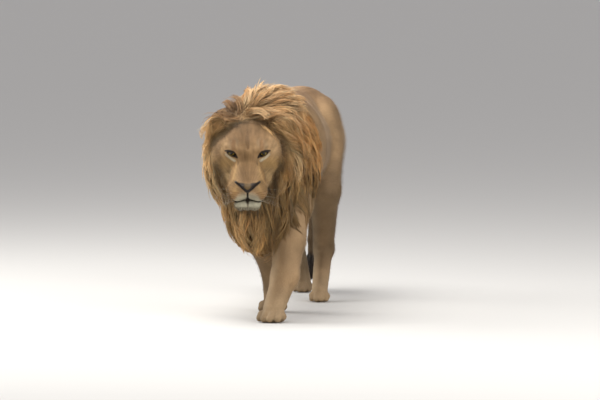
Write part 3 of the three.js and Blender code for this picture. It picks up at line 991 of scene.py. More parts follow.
def head_colour(points):
    """The short coat's colour on the head, in the head's frame."""
    height = front_height(points)
    across = np.abs(points[:, 0])
    ahead = points[:, 1]
    sides = columns(across, ahead, points[:, 2])

    def line(places, width, front=-60):
        return drawn(points, places, width, front)

    under_eye = [(94, -8), (80, -20), (66, -29), (57, -35)]
    tear = [(50, -26, -6), (44, -40, -22), (42, -56, -40)]
    muzzle_side = [(47, -40), (54, -76), (66, -112), (84, -136)]
    beyond_side = [(along + 9, rise) for along, rise in muzzle_side]
    lip_top = np.interp(across, (0, 20, 45, 65), (-168, -168, -178, -194))
    lip = smooth(lip_top + 16, lip_top - 22, height) * smooth(76, 44, across)
    lip *= smooth(-90, -130, ahead)
    chin = smooth(-200, -208, height) * smooth(72, 60, across) * smooth(-70, -110, ahead)
    temples = smooth(70, 115, across) * smooth(-30, 10, height)
    whisker_rows = [
        [(40 + 5 * row, -168 - 9 * row), (64, -166 - 9 * row), (90, -160 - 11 * row)]
        for row in range(4)
    ]
    fur = (
        (CHEEK, smooth(20, -50, height) * smooth(30, 70, across)),
        (FOREHEAD, smooth(20, 60, height) * 0.8),
        (BRIDGE, patch(sides, (0, -80, -40), (38, 110, 60)) * 0.8),
        (UNDER_EYE, line(under_eye, 8, 10) * 0.85),
        (CREAM, line([(72, 34), (56, 44)], 26, 40) * 0.14),  # over the eye
        (PAD_TAWNY, patch(sides, (62, -134, -104), (44, 50, 34)) * 0.7),
        (BRIDGE, line([(64, -126), (76, -150)], 22) * 0.7),  # beside the nose
        (TEMPLE, temples * smooth(150, 110, height)),
        (CREAM, patch(sides, (92, -30, -110), (40, 60, 44)) * 0.12),  # jowls
        (CREAM, lip * 0.95),
        (CHIN_WHITE, chin),
        # Painted shade on the throat under the chin.
        (MANE_DARK, smooth(-225, -250, height) * 0.8),  # throat
        (TEAR_LINE, stripe(sides, tear, 8) * 0.55),
        (STROKE, line([(62, 20), (60, 52)], 12, 40) * 0.6),  # strokes over the eye
        (STROKE, line([(69, 26), (74, 44)], 7, 40) * 0.25),
        (TEAR_LINE, line([(2, 26), (5, 70)], 9, 60) * 0.3),  # crease of the forehead
        (TEAR_LINE, line([(0, 62), (0, 100)], 7, 80) * 0.3),
        (PAD_TAWNY, line(muzzle_side, 6, 40) * 0.4),
        (STROKE, line(beyond_side, 8, 40) * 0.3),
        *((STROKE, line(row, 4) * 0.7) for row in whisker_rows),
    )
    colour = tinted(np.tile(FACE_TAWNY, (len(points), 1)), fur)
    spin = np.arctan2(points[:, 0], height + 175)
    reach = np.hypot(points[:, 0], height + 175)
    fan = columns(spin * 150, reach, ahead)
    shade = 1 + 0.075 * mottle(fan, (7, 60, 80), FACE_STREAK_SEED)
    shade = shade + 0.06 * mottle(points, (26, 40, 26), FACE_MOTTLE_SEED)
    leather, slit = nose_mask(points)
    # How much painted shade falls outside the face's edge, where the ruff and mane hang over it:
    # most low and high on the face.
    rim_shade = 0.2 + 0.65 * smooth(-40, -90, height) + 0.45 * smooth(20, 60, height)
    dark = (
        (LEATHER_TOP, leather),
        (LEATHER, leather * smooth(8, 20, across) * 0.95),
        (LEATHER, leather * smooth(-146, -160, height) * 0.7),
        (DARK_SKIN, slit),
        (DARK_SKIN, line(PARTING_LINE, 6)),
        (DARK_SKIN, line(MOUTH_LINE, 4.5) * 0.9),
        (DARK_SKIN, line([(0, -196), (0, -208)], 13) * 0.95),  # where lip and chin meet
        (TEAR_LINE, line(CHIN_LINE, 6) * 0.5),
        # Painted shadow under the chin.
        (DARK_SKIN, line([(0, -254), (40, -254), (62, -248)], 14) * 0.8),  # under the chin
        (DARK_SKIN, lid_rim(points)),
        # Painted shade outside the face's edge.
        (MANE_DARK, smooth(2, 22, past_face(points)) * rim_shade),
        # Painted shadow under the mane's swept edge.
        (MANE_DARK * 0.6, swept_edge_shadow(points) * 0.9),
    )
    return tinted(colour * shade[:, None], dark)


# ------------------------------------------------------------------ materials


def fill(tree, node, values):
    """Sets a node's inputs, or links them to other nodes."""
    for socket, value in values.items():
        if isinstance(value, bpy.types.NodeSocket):
            tree.links.new(value, node.inputs[socket])
        else:
            node.inputs[socket].default_value = value
    return node


def node_adder(tree):
    """A helper that adds nodes to a tree."""

    def add(kind, inputs=None, **settings):
        node = tree.nodes.new(kind)
        for key, value in settings.items():
            setattr(node, key, value)
        return fill(tree, node, inputs or {})

    return add


def new_material(name):
    """A material with only its shader, a helper that adds nodes and one that sets the shader."""
    material = bpy.data.materials.new(name)
    material.use_nodes = True
    tree = material.node_tree

    def shade(values):
        fill(tree, tree.nodes["Principled BSDF"], values)
        return material

    return node_adder(tree), shade


def stored(add, name, output="Fac"):
    """What the mesh stores under a name."""
    return add("ShaderNodeAttribute", attribute_name=name).outputs[output]


def scaled_noise(add, scale, detail=3.0, roughness=0.6):
    """Noise on the object's own coordinates, stretched by a scale for each axis."""
    place = add("ShaderNodeTexCoord").outputs["Object"]
    mapping = add("ShaderNodeMapping", {"Vector": place, "Scale": scale})
    return add(
        "ShaderNodeTexNoise",
        {
            "Vector": mapping.outputs["Vector"],
            "Scale": 1.0,
            "Detail": detail,
            "Roughness": roughness,
        },
    ).outputs["Fac"]


def varied(add, colour, amount_noise, low, high):
    """A colour made darker and lighter by noise."""
    shade = add(
        "ShaderNodeMapRange",
        {"Value": amount_noise, "From Min": 0.3, "From Max": 0.7, "To Min": low, "To Max": high},
    )
    product_node = add(
        "ShaderNodeVectorMath", {0: colour, 1: shade.outputs["Result"]}, operation="MULTIPLY"
    )
    return product_node.outputs["Vector"]


def skin_material():
    """Short fur lying flat: the marking's colour, fine streaks and a low bump."""
    add, shade = new_material("lion_skin")
    leather = stored(add, "leather")
    along_body = scaled_noise(add, (420, 60, 420), 4.0, 0.7)
    along_leg = scaled_noise(add, (420, 420, 60), 4.0, 0.7)
    streaks = add(
        "ShaderNodeMix", {"Factor": stored(add, "upright"), 2: along_body, 3: along_leg}
    )
    fine = streaks.outputs[0]
    colour = varied(add, stored(add, "marking", "Color"), scaled_noise(add, (9, 9, 9)), 0.9, 1.1)
    rough = add("ShaderNodeMapRange", {"Value": leather, "To Min": 0.78, "To Max": 0.36})
    pebbles = add("ShaderNodeTexVoronoi", {"Scale": 620.0}).outputs["Distance"]
    grain = add("ShaderNodeMix", {"Factor": leather, 2: fine, 3: pebbles})
    bump = add(
        "ShaderNodeBump", {"Height": grain.outputs[0], "Strength": 0.5, "Distance": 0.0015}
    )
    return shade(
        {
            "Base Color": varied(add, colour, fine, 0.82, 1.16),
            "Roughness": rough.outputs["Result"],
            "Normal": bump.outputs["Normal"],
            "Specular IOR Level": 0.2,
        }
    )


def hair_material(name, roughness, sheen):
    """Hair with its own colour along each lock and fine streaks across it."""
    add, shade = new_material(name)
    fine = scaled_noise(add, (260, 260, 260), 2.0)
    return shade(
        {
            "Base Color": varied(add, stored(add, "marking", "Color"), fine, 0.86, 1.14),
            "Roughness": roughness,
            "Sheen Weight": sheen,
            "Sheen Roughness": 0.4,
            "Specular IOR Level": 0.35,
        }
    )


def eye_material(iris):
    """A wet eye: dark round pupil, amber iris with rays and a dark edge."""
    add, shade = new_material("lion_eye")
    pupil = (0.004, 0.003, 0.003)
    shaded_iris = [0.6 * part for part in iris]
    stops = (
        (0.0, pupil),
        (0.27, pupil),
        (0.31, shaded_iris),
        (0.5, iris),
        (0.7, shaded_iris),
        (0.8, (0.05, 0.025, 0.01)),
        (1.0, (0.02, 0.012, 0.008)),
    )
    ramp = add("ShaderNodeValToRGB", {"Fac": stored(add, "ring")})
    while len(ramp.color_ramp.elements) < len(stops):
        ramp.color_ramp.elements.new(0.5)
    for element, (position, colour) in zip(ramp.color_ramp.elements, stops):
        element.position = position
        element.color = (*colour, 1)
    rays = scaled_noise(add, (500, 500, 500), 2.0)
    return shade(
        {
            "Base Color": varied(add, ramp.outputs["Color"], rays, 0.7, 1.25),
            "Roughness": 0.06,
            "Specular IOR Level": 0.25,
            "Coat Weight": 0.3,
            "Coat Roughness": 0.02,
        }
    )


def whisker_material():
    """Stiff pale whiskers."""
    add, shade = new_material("whisker")
    fine = scaled_noise(add, (300, 300, 300), 2.0)
    base = add("ShaderNodeRGB").outputs[0]
    base.default_value = (0.5, 0.44, 0.33, 1)
    return shade({"Base Color": varied(add, base, fine, 0.9, 1.1), "Roughness": 0.35})


# ------------------------------------------------------------------ hair by Geometry Nodes

MANE_PIECES = 6
RUFF_PIECES = 2
LOCK_SIDES = 3
TUFT_POINTS = 4
BAKE_PATCH = 0.003  # side of one tuft's patch on the unwrap


def node_tree(name, inputs):
    """An empty geometry tree with its named inputs and a helper that adds nodes."""
    tree = bpy.data.node_groups.new(name, "GeometryNodeTree")
    tree.interface.new_socket("Geometry", in_out="INPUT", socket_type="NodeSocketGeometry")
    for socket_name, kind, default in inputs:
        socket = tree.interface.new_socket(socket_name, in_out="INPUT", socket_type=kind)
        if default is not None:
            socket.default_value = default
    tree.interface.new_socket("Geometry", in_out="OUTPUT", socket_type="NodeSocketGeometry")
    add = node_adder(tree)
    return tree, add, add("NodeGroupInput").outputs


def named(add, name, kind):
    """What each point of the seeds stores under a name."""
    node = add("GeometryNodeInputNamedAttribute", {"Name": name}, data_type=kind)
    return node.outputs["Attribute"]


def finish_tree(add, made, hair):
    """Ends a tree: real meshes with their material."""
    whole = add("GeometryNodeRealizeInstances", {"Geometry": made}).outputs["Geometry"]
    dressed = add("GeometryNodeSetMaterial", {"Geometry": whole, "Material": hair})
    add("NodeGroupOutput", {"Geometry": dressed.outputs["Geometry"]})


def lock_tree():
    """Turns lines into tapering locks of hair, closed at both ends."""
    tree, add, given = node_tree(
        "Locks of hair",
        [
            ("Sides", "NodeSocketInt", LOCK_SIDES),
            ("Flatness", "NodeSocketFloat", 0.6),
            ("Girth", "NodeSocketFloat", 1.0),
            ("Hair", "NodeSocketMaterial", None),
        ],
    )
    lines = add("GeometryNodeMeshToCurve", {"Mesh": given["Geometry"]})
    girth = named(add, "girth", "FLOAT")
    scale = add("ShaderNodeMath", {0: girth, 1: given["Girth"]}, operation="MULTIPLY")
    ring = add("GeometryNodeCurvePrimitiveCircle", {"Resolution": given["Sides"], "Radius": 1.0})
    shape = add("ShaderNodeCombineXYZ", {"X": 1.0, "Y": given["Flatness"], "Z": 1.0})
    oval = add(
        "GeometryNodeTransform", {"Geometry": ring.outputs["Curve"], "Scale": shape.outputs[0]}
    )
    hair = add(
        "GeometryNodeCurveToMesh",
        {
            "Curve": lines.outputs["Curve"],
            "Profile Curve": oval.outputs["Geometry"],
            "Scale": scale.outputs[0],
            "Fill Caps": True,
        },
    )
    finish_tree(add, hair.outputs["Mesh"], given["Hair"])
    return tree


def tuft_tree():
    """Sets one small pointed tuft on each point, lying as the point says."""
    tree, add, given = node_tree(
        "Tufts of coat",
        [
            ("Width", "NodeSocketFloat", 0.5),
            ("Thickness", "NodeSocketFloat", 0.2),
            ("Unevenness", "NodeSocketFloat", 0.25),
            ("Seed", "NodeSocketInt", 1),
            ("Hair", "NodeSocketMaterial", None),
        ],
    )
    spike = add(
        "GeometryNodeMeshCone",
        {
            "Vertices": TUFT_POINTS - 1,
            "Side Segments": 1,
            "Radius Top": 0.0,
            "Radius Bottom": 1.0,
            "Depth": 1.0,
        },
        fill_type="NGON",
    )
    size = named(add, "size", "FLOAT_VECTOR")
    shape = add(
        "ShaderNodeCombineXYZ", {"X": given["Width"], "Y": given["Thickness"], "Z": 1.0}
    )
    sized = add("ShaderNodeVectorMath", {0: size, 1: shape.outputs[0]}, operation="MULTIPLY")
    least = add("ShaderNodeMath", {0: 1.0, 1: given["Unevenness"]}, operation="SUBTRACT")
    most = add("ShaderNodeMath", {0: 1.0, 1: given["Unevenness"]}, operation="ADD")
    chance = add(
        "FunctionNodeRandomValue",
        {"Min": least.outputs[0], "Max": most.outputs[0], "Seed": given["Seed"]},
        data_type="FLOAT",
    )
    uneven = add(
        "ShaderNodeVectorMath",
        {0: sized.outputs[0], "Scale": chance.outputs["Value"]},
        operation="SCALE",
    )
    tufts = add(
        "GeometryNodeInstanceOnPoints",
        {
            "Points": given["Geometry"],
            "Instance": spike.outputs["Mesh"],
            "Rotation": named(add, "lie", "QUATERNION"),
            "Scale": uneven.outputs[0],
        },
    )
    finish_tree(add, tufts.outputs["Instances"], given["Hair"])
    return tree


def run_tree(name, seeds, tree, settings):
    """Runs a geometry tree on a mesh of seeds and returns the result as a plain mesh object."""
    modifier = seeds.modifiers.new("Hair", "NODES")
    modifier.node_group = tree
    for item in tree.interface.items_tree:
        if item.in_out == "INPUT" and item.name in settings:
            modifier[item.identifier] = settings[item.name]
    seeds.update_tag()
    evaluated = seeds.evaluated_get(bpy.context.evaluated_depsgraph_get())
    mesh = bpy.data.meshes.new_from_object(evaluated)
    seeds.modifiers.remove(modifier)
    bpy.data.objects.remove(seeds)
    mesh.name = name
    mesh.materials.clear()
    mesh.materials.append(settings["Hair"])
    mesh.shade_smooth()
    return place_object(name, mesh)


def keep_roots(mesh, places):
    """Stores where each point's root is on the skin's unwrap."""
    keep_attribute(mesh, "root_uv", "FLOAT_VECTOR", np.pad(places, ((0, 0), (0, 1))))


def bake_map(mesh, girth_points):
    """Writes OFBake: each tuft is a small patch at its root's place on the skin's unwrap."""
    root = read_rows(mesh.attributes["root_uv"].data, "vector", 3)[:, :2]
    along = read_rows(mesh.attributes["along"].data, "value", 1)[:, 0]
    side = np.arange(len(root)) % girth_points / (girth_points - 1)
    offset = columns(along - 0.5, side - 0.5) * BAKE_PATCH
    corner = read_rows(mesh.loops, "vertex_index", 1, np.int32)[:, 0]
    layer = mesh.uv_layers.new(name="OFBake")
    layer.uv.foreach_set("vector", (root + offset)[corner].astype(np.float32).ravel())
    mesh.uv_layers.active = layer


def draw_locks(name, lines, girth, colours, roots_uv, material):
    """Makes a piece of locks. lines is (locks, points, 3) in the body's frame."""
    locks, points = lines.shape[:2]
    mesh = mesh_of(name + "_lines", lines.reshape(-1, 3))
    first = np.arange(locks)[:, None] * points + np.arange(points - 1)
    edges = np.stack((first, first + 1), axis=-1).reshape(-1, 2)
    mesh.edges.add(len(edges))
    mesh.edges.foreach_set("vertices", edges.astype(np.int32).ravel())
    keep_attribute(mesh, "girth", "FLOAT", girth.ravel() * METRES)
    keep_attribute(mesh, "marking", "FLOAT_COLOR", colours.reshape(-1, 3))
    keep_attribute(mesh, "along", "FLOAT", np.tile(np.linspace(0, 1, points), locks))
    keep_roots(mesh, np.repeat(roots_uv, points, axis=0))
    seeds = place_object(name + "_lines", mesh)
    tree = bpy.data.node_groups.get("Locks of hair") or lock_tree()
    piece = run_tree(name, seeds, tree, {"Hair": material})
    bake_map(piece.data, LOCK_SIDES)
    return piece


def draw_tufts(name, roots, directions, normals, sizes, colours, roots_uv, material, seed):
    """Makes a piece of small tufts, one on each root, their flat side on the skin."""
    mesh = mesh_of(name + "_roots", roots)
    across = unit(np.cross(directions, normals))
    up = np.cross(directions, -across)
    turns = np.stack((across, up, directions), axis=-1)
    keep_attribute(mesh, "lie", "QUATERNION", quaternions(turns))
    keep_attribute(mesh, "size", "FLOAT_VECTOR", sizes * METRES)
    keep_attribute(mesh, "marking", "FLOAT_COLOR", colours)
    keep_roots(mesh, roots_uv)
    seeds = place_object(name + "_roots", mesh)
    tree = bpy.data.node_groups.get("Tufts of coat") or tuft_tree()
    piece = run_tree(name, seeds, tree, {"Seed": seed, "Hair": material})
    piece.data.normals_split_custom_set_from_vertices(np.repeat(normals, TUFT_POINTS, axis=0))
    tip = np.arange(len(piece.data.vertices)) % TUFT_POINTS == 0
    keep_attribute(piece.data, "along", "FLOAT", tip)
    bake_map(piece.data, TUFT_POINTS)
    return piece


def quaternions(turns):
    """Rotation matrices as quaternions."""
    m = turns
    w = np.sqrt(np.maximum(0, 1 + m[:, 0, 0] + m[:, 1, 1] + m[:, 2, 2])) / 2
    x = np.sqrt(np.maximum(0, 1 + m[:, 0, 0] - m[:, 1, 1] - m[:, 2, 2])) / 2
    y = np.sqrt(np.maximum(0, 1 - m[:, 0, 0] + m[:, 1, 1] - m[:, 2, 2])) / 2
    z = np.sqrt(np.maximum(0, 1 - m[:, 0, 0] - m[:, 1, 1] + m[:, 2, 2])) / 2
    x = np.copysign(x, m[:, 2, 1] - m[:, 1, 2])
    y = np.copysign(y, m[:, 0, 2] - m[:, 2, 0])
    z = np.copysign(z, m[:, 1, 0] - m[:, 0, 1])
    return unit(columns(w, x, y, z))


# ------------------------------------------------------------------ the skin


def body_grid():
    """Grid lines for the trunk and legs, closer together at the paws."""
    return (
        grid_line((-264,), (-84, 10), (186, 7), (264, 10)),
        grid_line(
            (-1000,), (-885, 13), (-720, 6.5), (-390, 12), (-240, 6.5), (165, 12), (300, 6.5),
            (660, 12), (800, 6.5), (1000, 12),
        ),
        grid_line((-8,), (84, 4.8), (1048, 10.5)),
    )


def head_grid():
    """Grid lines for the head in its own frame, closest together on the face."""
    return (
        grid_line((-200,), (-104, 5), (-44, 2.2), (44, 2.9), (104, 2.2), (200, 5)),
        grid_line((-216,), (6, 2.7), (60, 4.5), (280, 7)),
        grid_line((-214,), (-150, 3.4), (-66, 2.7), (-24, 3.4), (22, 2), (140, 4.2)),
    )


def above_floor(shape):
    """A shape cut flat where it stands on the floor."""

    return Shape(lambda x, y, z: np.maximum(shape.at(x, y, z), -z), shape.low, shape.high)


def shell_object(name, shape, lines, reach, place=None):
    """A closed mesh of a shape."""
    points, faces = surface_nets(shape, lines)
    points = settle(shape, points, reach)
    if place is not None:
        points = place(points)
    return mesh_object(name, points, faces)


def unwrap(thing):
    """Unwraps a piece into OFBake."""
    thing.data.uv_layers.new(name="OFBake")
    bpy.context.view_layer.objects.active = thing
    thing.select_set(True)
    bpy.ops.object.mode_set(mode="EDIT")
    bpy.ops.mesh.select_all(action="SELECT")
    bpy.ops.uv.smart_project(angle_limit=math.radians(66), island_margin=0.002)
    bpy.ops.object.mode_set(mode="OBJECT")
    thing.select_set(False)


LEAST_FACES = 50000  # a joined skin has more


def build_skin(coat):
    """One skin from nose to tail: body and head joined where the mane hides the join."""
    skin = shell_object("skin", above_floor(BODY_SKIN), body_grid(), 4)
    head = shell_object("head_shell", HEAD_SKIN, head_grid(), 1.5, from_head)
    join = skin.modifiers.new("Join", "BOOLEAN")
    join.operation = "UNION"
    join.solver = "MANIFOLD"
    join.object = head
    evaluated = skin.evaluated_get(bpy.context.evaluated_depsgraph_get())
    mesh = bpy.data.meshes.new_from_object(evaluated)
    skin.modifiers.clear()
    skin.data = mesh
    bpy.data.objects.remove(head)
    if len(mesh.polygons) < LEAST_FACES:
        raise RuntimeError("the head and the body did not join")
    mesh.shade_smooth()
    points, normals = mesh_points(mesh)
    marking, leather = skin_marking(points, normals, coat)
    keep_attribute(mesh, "marking", "FLOAT_COLOR", marking)
    keep_attribute(mesh, "leather", "FLOAT", leather)
    keep_attribute(mesh, "upright", "FLOAT", smooth(620, 480, points[:, 2]))
    unwrap(skin)
    return skin


def head_share(points):
    """One on the head, zero on the body."""
    q = to_head(points)
    return smooth(230, 150, q[:, 1]) * smooth(-230, -205, q[:, 2]) * (np.abs(q[:, 0]) < 190)


def skin_marking(points, normals, coat):
    """Colour of the skin's fur, and how much of it is bare leather."""
    q = to_head(points)
    on_head = head_share(points)
    colour = body_colour(points, normals, coat)
    colour += (head_colour(q) - colour) * on_head[:, None]
    # Painted shade on the skin far under the mane, a little lighter along the top of the back.
    under_mane_shade = tint(MANE_INNER_SHADE + 0 * colour, coat, smooth(840, 930, points[:, 2]) * 0.35)
    under_mane_shade = smooth(-14, -34, distance_at(MANE, points))[:, None] * (under_mane_shade - colour)
    colour = colour + under_mane_shade
    leather, slit = nose_mask(q)
    return colour, np.maximum(leather, slit) * on_head


# ------------------------------------------------------------------ eyes


def build_eye(side):
    """A smooth eyeball with its rings measured from the way that it looks."""
    rows, count = 24, 36
    look = unit(np.array((-side * 0.1, -1, -0.02)))
    start = unit(np.cross(look, (0, 0, 1)))
    turn = np.stack((start, np.cross(start, look), look), axis=1)
    polar = np.linspace(0, math.pi, rows + 1)[1:-1, None]
    around = np.arange(count) * 2 * math.pi / count
    ring = columns(np.sin(polar) * np.cos(around), np.sin(polar) * np.sin(around), np.cos(polar))
    local = np.concatenate(([(0, 0, 1)], ring.reshape(-1, 3), [(0, 0, -1)]))
    centre = eye_axes(side)[0]
    points = from_head(centre + EYE_RADIUS * local @ turn.T)
    mesh = bpy.data.meshes.new("eye")
    last = len(local) - 1
    faces = []
    for column in range(count):
        beyond = (column + 1) % count
        faces.append((0, 1 + column, 1 + beyond))
        base = 1 + (rows - 2) * count
        faces.append((last, base + beyond, base + column))
        for row in range(rows - 2):
            low, high = 1 + row * count, 1 + (row + 1) * count
            faces.append((low + column, high + column, high + beyond, low + beyond))
    mesh.from_pydata(to_scene(points).tolist(), [], faces)
    mesh.shade_smooth()
    piece = place_object("eyeball_left" if side > 0 else "eyeball_right", mesh)
    rings = np.arccos(np.clip(local[:, 2], -1, 1)) / IRIS_EDGE
    keep_attribute(mesh, "ring", "FLOAT", np.clip(rings, 0, 1))
    outward(mesh)
    return piece


def outward(mesh):
    """Turns all the faces of a closed mesh outwards."""
    work = bmesh.new()
    work.from_mesh(mesh)
    bmesh.ops.recalc_face_normals(work, faces=work.faces)
    work.to_mesh(mesh)
    work.free()


# ------------------------------------------------------------------ roots and lie of the hair


class Roots:
    """Places on the skin's faces, drawn at random with a density of the caller's choice."""

    def __init__(self, skin):
        mesh = skin.data
        mesh.calc_loop_triangles()
        self.corners = read_rows(mesh.loop_triangles, "vertices", 3, np.int32)
        self.loops = read_rows(mesh.loop_triangles, "loops", 3, np.int32)
        self.points, self.normals = mesh_points(mesh)
        self.uv = read_rows(mesh.uv_layers["OFBake"].uv, "vector", 2)
        tints = read_rows(mesh.attributes["marking"].data, "color", 4)
        self.tints = tints[:, :3].astype(float)
        first, second, third = (self.points[self.corners[:, index]] for index in range(3))
        self.areas = np.linalg.norm(np.cross(second - first, third - first), axis=1) / 2
        self.middles = (first + second + third) / 3
        self.facing = unit(self.normals[self.corners].mean(1))

    def draw(self, count, density, seed):
        """Points, outward directions, places on the unwrap and colours of drawn roots."""
        chance = np.random.default_rng(seed)
        weight = np.cumsum(self.areas * density)
        steps = (np.arange(count) + chance.random(count)) / count * weight[-1]
        face = np.minimum(np.searchsorted(weight, steps), len(weight) - 1)
        share = np.sort(chance.random((count, 2)), axis=1)
        share = columns(share[:, 0], share[:, 1] - share[:, 0], 1 - share[:, 1])

        def shared(values):
            return np.einsum("nc,ncx->nx", share, values)

        corner = self.corners[face]
        normals = unit(shared(self.normals[corner]))
        uv = shared(self.uv[self.loops[face]])
        return shared(self.points[corner]), normals, uv, shared(self.tints[corner])


def flat_on(directions, normals):
    """Directions turned to lie flat on a surface."""
    return unit(directions - normals * (directions * normals).sum(1, keepdims=True))


def body_lie(points):
    """The way the short hair lies on the trunk, legs and tail."""
    x, y, z = points.T
    side = np.sign(x)
    trunk = columns(side * 0.05, 1, -0.35)
    rump = smooth(560, 720, y) * smooth(560, 700, z)
    trunk = tint(trunk, np.array((0, 0.35, -1)), rump)
    lie = blend(trunk, np.array((0, 0.22, -1)), smooth(560, 470, z)[:, None])
    return unit(blend(lie, np.array((0, -1, -0.35)), smooth(110, 55, z)[:, None]))


def head_lie(q):
    """The way the short hair lies on the head, in the head's frame: from the nose backwards."""
    x, y, z = q.T
    side = np.sign(x)
    ahead = smooth(-10, -110, y)
    up = smooth(-60, 20, z)
    outward_x = side * (0.35 + 0.4 * smooth(20, 90, np.abs(x)))
    rise = 0.65 * up - 0.5 * (1 - up)
    low = (ahead * smooth(-70, -100, z))[:, None]
    return unit(blend(columns(outward_x, 1, rise), columns(side * 0.5, 1, -0.25), low))


def coat_lie(points):
    """The way the short hair lies anywhere."""
    lie = body_lie(points)
    q = to_head(points)
    share = head_share(points)
    on_head = share > 0
    lie[on_head] = head_lie(q[on_head]) @ HEAD_PLACE[:3, :3].T
    return lie


PARTING_Y = (-900, -720, -500)
PARTING_X = (-30, -75, 0)
FACE_MIDDLE = -40.0  # height of the middle of the face over the eyes


def mane_lie(points):
    """The way the mane falls: from the parting round the face, and down and back behind it."""
    q = to_head(points)
    x, y, z = points.T
    parting = np.interp(y, PARTING_Y, PARTING_X)
    uneven = 26 * mottle(points, (42, 42, 42), MANE_PARTING_SEED) - 6
    side = np.clip((x - parting - uneven) / 22, -1, 1)
    rx, rz = q[:, 0], q[:, 2] - FACE_MIDDLE
    reach = np.maximum(np.hypot(rx, rz), 1)
    rx, rz = rx / reach, rz / reach
    tangent = columns(side * np.maximum(rz, -0.2), 0, -side * rx)
    radial = columns(rx, 0, rz)
    lower = smooth(0.1, -0.75, rz)[:, None]
    around = tangent * (1 - 0.75 * lower) + radial * (0.32 - 0.2 * lower)
    around = around + np.array((0, 0.3, 0)) * (1 - lower)
    around = around @ HEAD_PLACE[:3, :3].T
    around = around + np.array((0, 0.05, -1.0)) * (0.15 + 0.95 * lower)
    high = smooth(820, 960, z)
    spread = np.clip((x - parting) / 120, -1, 1) * (1 - 0.6 * high * smooth(-500, -400, y))
    behind = columns(spread * (0.25 + 0.55 * high), 0.45 + 0.4 * high, -0.95 + 0.6 * high)
    back = smooth(-850, -720, y)[:, None]
    lie = blend(unit(around), unit(behind), back)
    chest = (smooth(640, 520, z) * smooth(-560, -640, y))[:, None]
    return unit(blend(lie, np.array((0, 0.12, -1.0)), chest))


def mane_length(points):
    """How long the hair is, in millimetres."""
    q = to_head(points)
    y, z = points[:, 1], points[:, 2]
    length = np.full(len(points), 150.0)
    rim = smooth(150, 60, q[:, 1]) * smooth(-210, -150, q[:, 2])
    length = blend(length, 95 + 45 * smooth(40, 110, front_height(q)), rim)
    crest = smooth(880, 960, z) * smooth(-560, -640, y)
    length = blend(length, 120, crest)
    last = smooth(-420, -300, y)
    return blend(length, 105, last)


def mane_colour(points, gold, rust):
    """The mane's colour part way along a lock."""
    q = to_head(points)
    x, y, z = points.T
    crest = smooth(820, 950, z) * smooth(-330, -600, y)
    right_top_shade = smooth(-20, -90, x) * smooth(850, 910, z) * smooth(-235, -190, x)
    ear_flap_shade = drawn(q, [(-40, 128), (-96, 104), (-132, 56)], 44, 40) * smooth(200, 120, q[:, 1])
    pale = smooth(-140, -185, x) * smooth(420, 520, z) * smooth(800, 740, z)
    pale = np.maximum(pale * smooth(-520, -640, y), smooth(-205, -225, x))
    on_left = q[:, 0] > 0
    streak = drawn(q, [(168, 96), (192, 20), (226, -100)], 34, 400) * on_left
    gap = drawn(q, [(232, 10), (256, -60), (262, -140)], 26, 400) * on_left
    beard = smooth(620, 540, z) * smooth(-640, -720, y)
    past = past_face(q)
    edge = smooth(-6, 8, past) * smooth(40, 16, past) * (q[:, 1] < 160)
    return tinted(
        np.tile(rust, (len(points), 1)),
        (
            (gold, crest * 0.9),
            (TAWNY_BACK, smooth(-420, -300, y) * smooth(820, 930, z) * 0.7),
            # Painted shade on the top of the mane on the lion's right.
            (MANE_DARK * (1.5, 1.15, 0.9), right_top_shade * smooth(-480, -600, y) * 0.85),
            # Painted shade over the ear.
            (MANE_DARK * (1.5, 1.3, 1.4), ear_flap_shade * 0.75),
            (MANE_PALE, pale * 0.75),
            (MANE_PALE, streak * 0.6),
            # Painted shade in a gap of the mane on the lion's left.
            (MANE_DARK, gap * 0.35),
            # Painted shade low on the mane.
            (MANE_DARK * (1.6, 1.6, 1.2), smooth(680, 580, z) * 0.34),
            (gold * (1, 0.94, 0.8), beard * smooth(60, -20, x) * 0.2),
            # Painted shade low on the chest on the lion's left.
            (MANE_DARK, smooth(650, 530, z) * smooth(-20, 90, x) * 0.62),
            # Painted shadow on the mane along the face's edge, stronger high up.
            (MANE_DARK * 1.3, edge * (0.25 + 0.35 * smooth(20, 60, front_height(q)))),
            # Painted shade in the hollows between the jaw and the mane, and under the chin.
            (MANE_DARK * 0.8, cheek_crease_shade(q) * smooth(120, 40, q[:, 1]) * 0.85),
        ),
    )


CLUMPS = 800
SMALL_CLUMPS = 6000
TIP_DEPTHS = (-3, 26)  # of the clumps' tips under the mane's outside
SWING = 0.2  # spread of the clumps' directions, in radians
LOCK_TAPER = np.array((0.45, 0.9, 1.0, 0.9, 0.62, 0.1))
LOCK_SHADE = np.array((0.5, 0.72, 0.92, 1.04, 1.12, 1.18))


def walk(starts, lengths, tip_depth, points):
    """Lines over the mane: they rise from the skin to their own depth and follow the lie."""
    chance = np.random.default_rng(MANE_GROWTH_SEED + 1)
    count = len(starts)
    line = np.empty((count, points, 3))
    line[:, 0] = starts
    step = lengths / (points - 1)
    depth = -distance_at(ENVELOPE, starts)
    turn = chance.normal(0, SWING, count)
    bend = chance.normal(0, SWING * 0.5, count)
    here = starts.copy()
    for index in range(1, points):
        along = index / (points - 1)
        normal = slope_at(ENVELOPE, here)
        flow = flat_on(mane_lie(here), normal)
        wander = 0.22 * mottle(here, (45, 45, 45), MANE_WANDER_SEED)
        angle = (turn + bend * along * 2 + wander)[:, None]
        flow = swung(flow, normal, angle)
        wanted = depth + (tip_depth - depth) * smooth(-0.05, 0.5, along)
        lift = wanted + distance_at(ENVELOPE, here + flow * step[:, None])
        lift = np.clip(lift, -step * 1.4, step * 1.4)
        here = here + flow * step[:, None] - normal * lift[:, None]
        line[:, index] = here
    line[:, 1:-1] = (line[:, :-2] + 2 * line[:, 1:-1] + line[:, 2:]) / 4
    return line


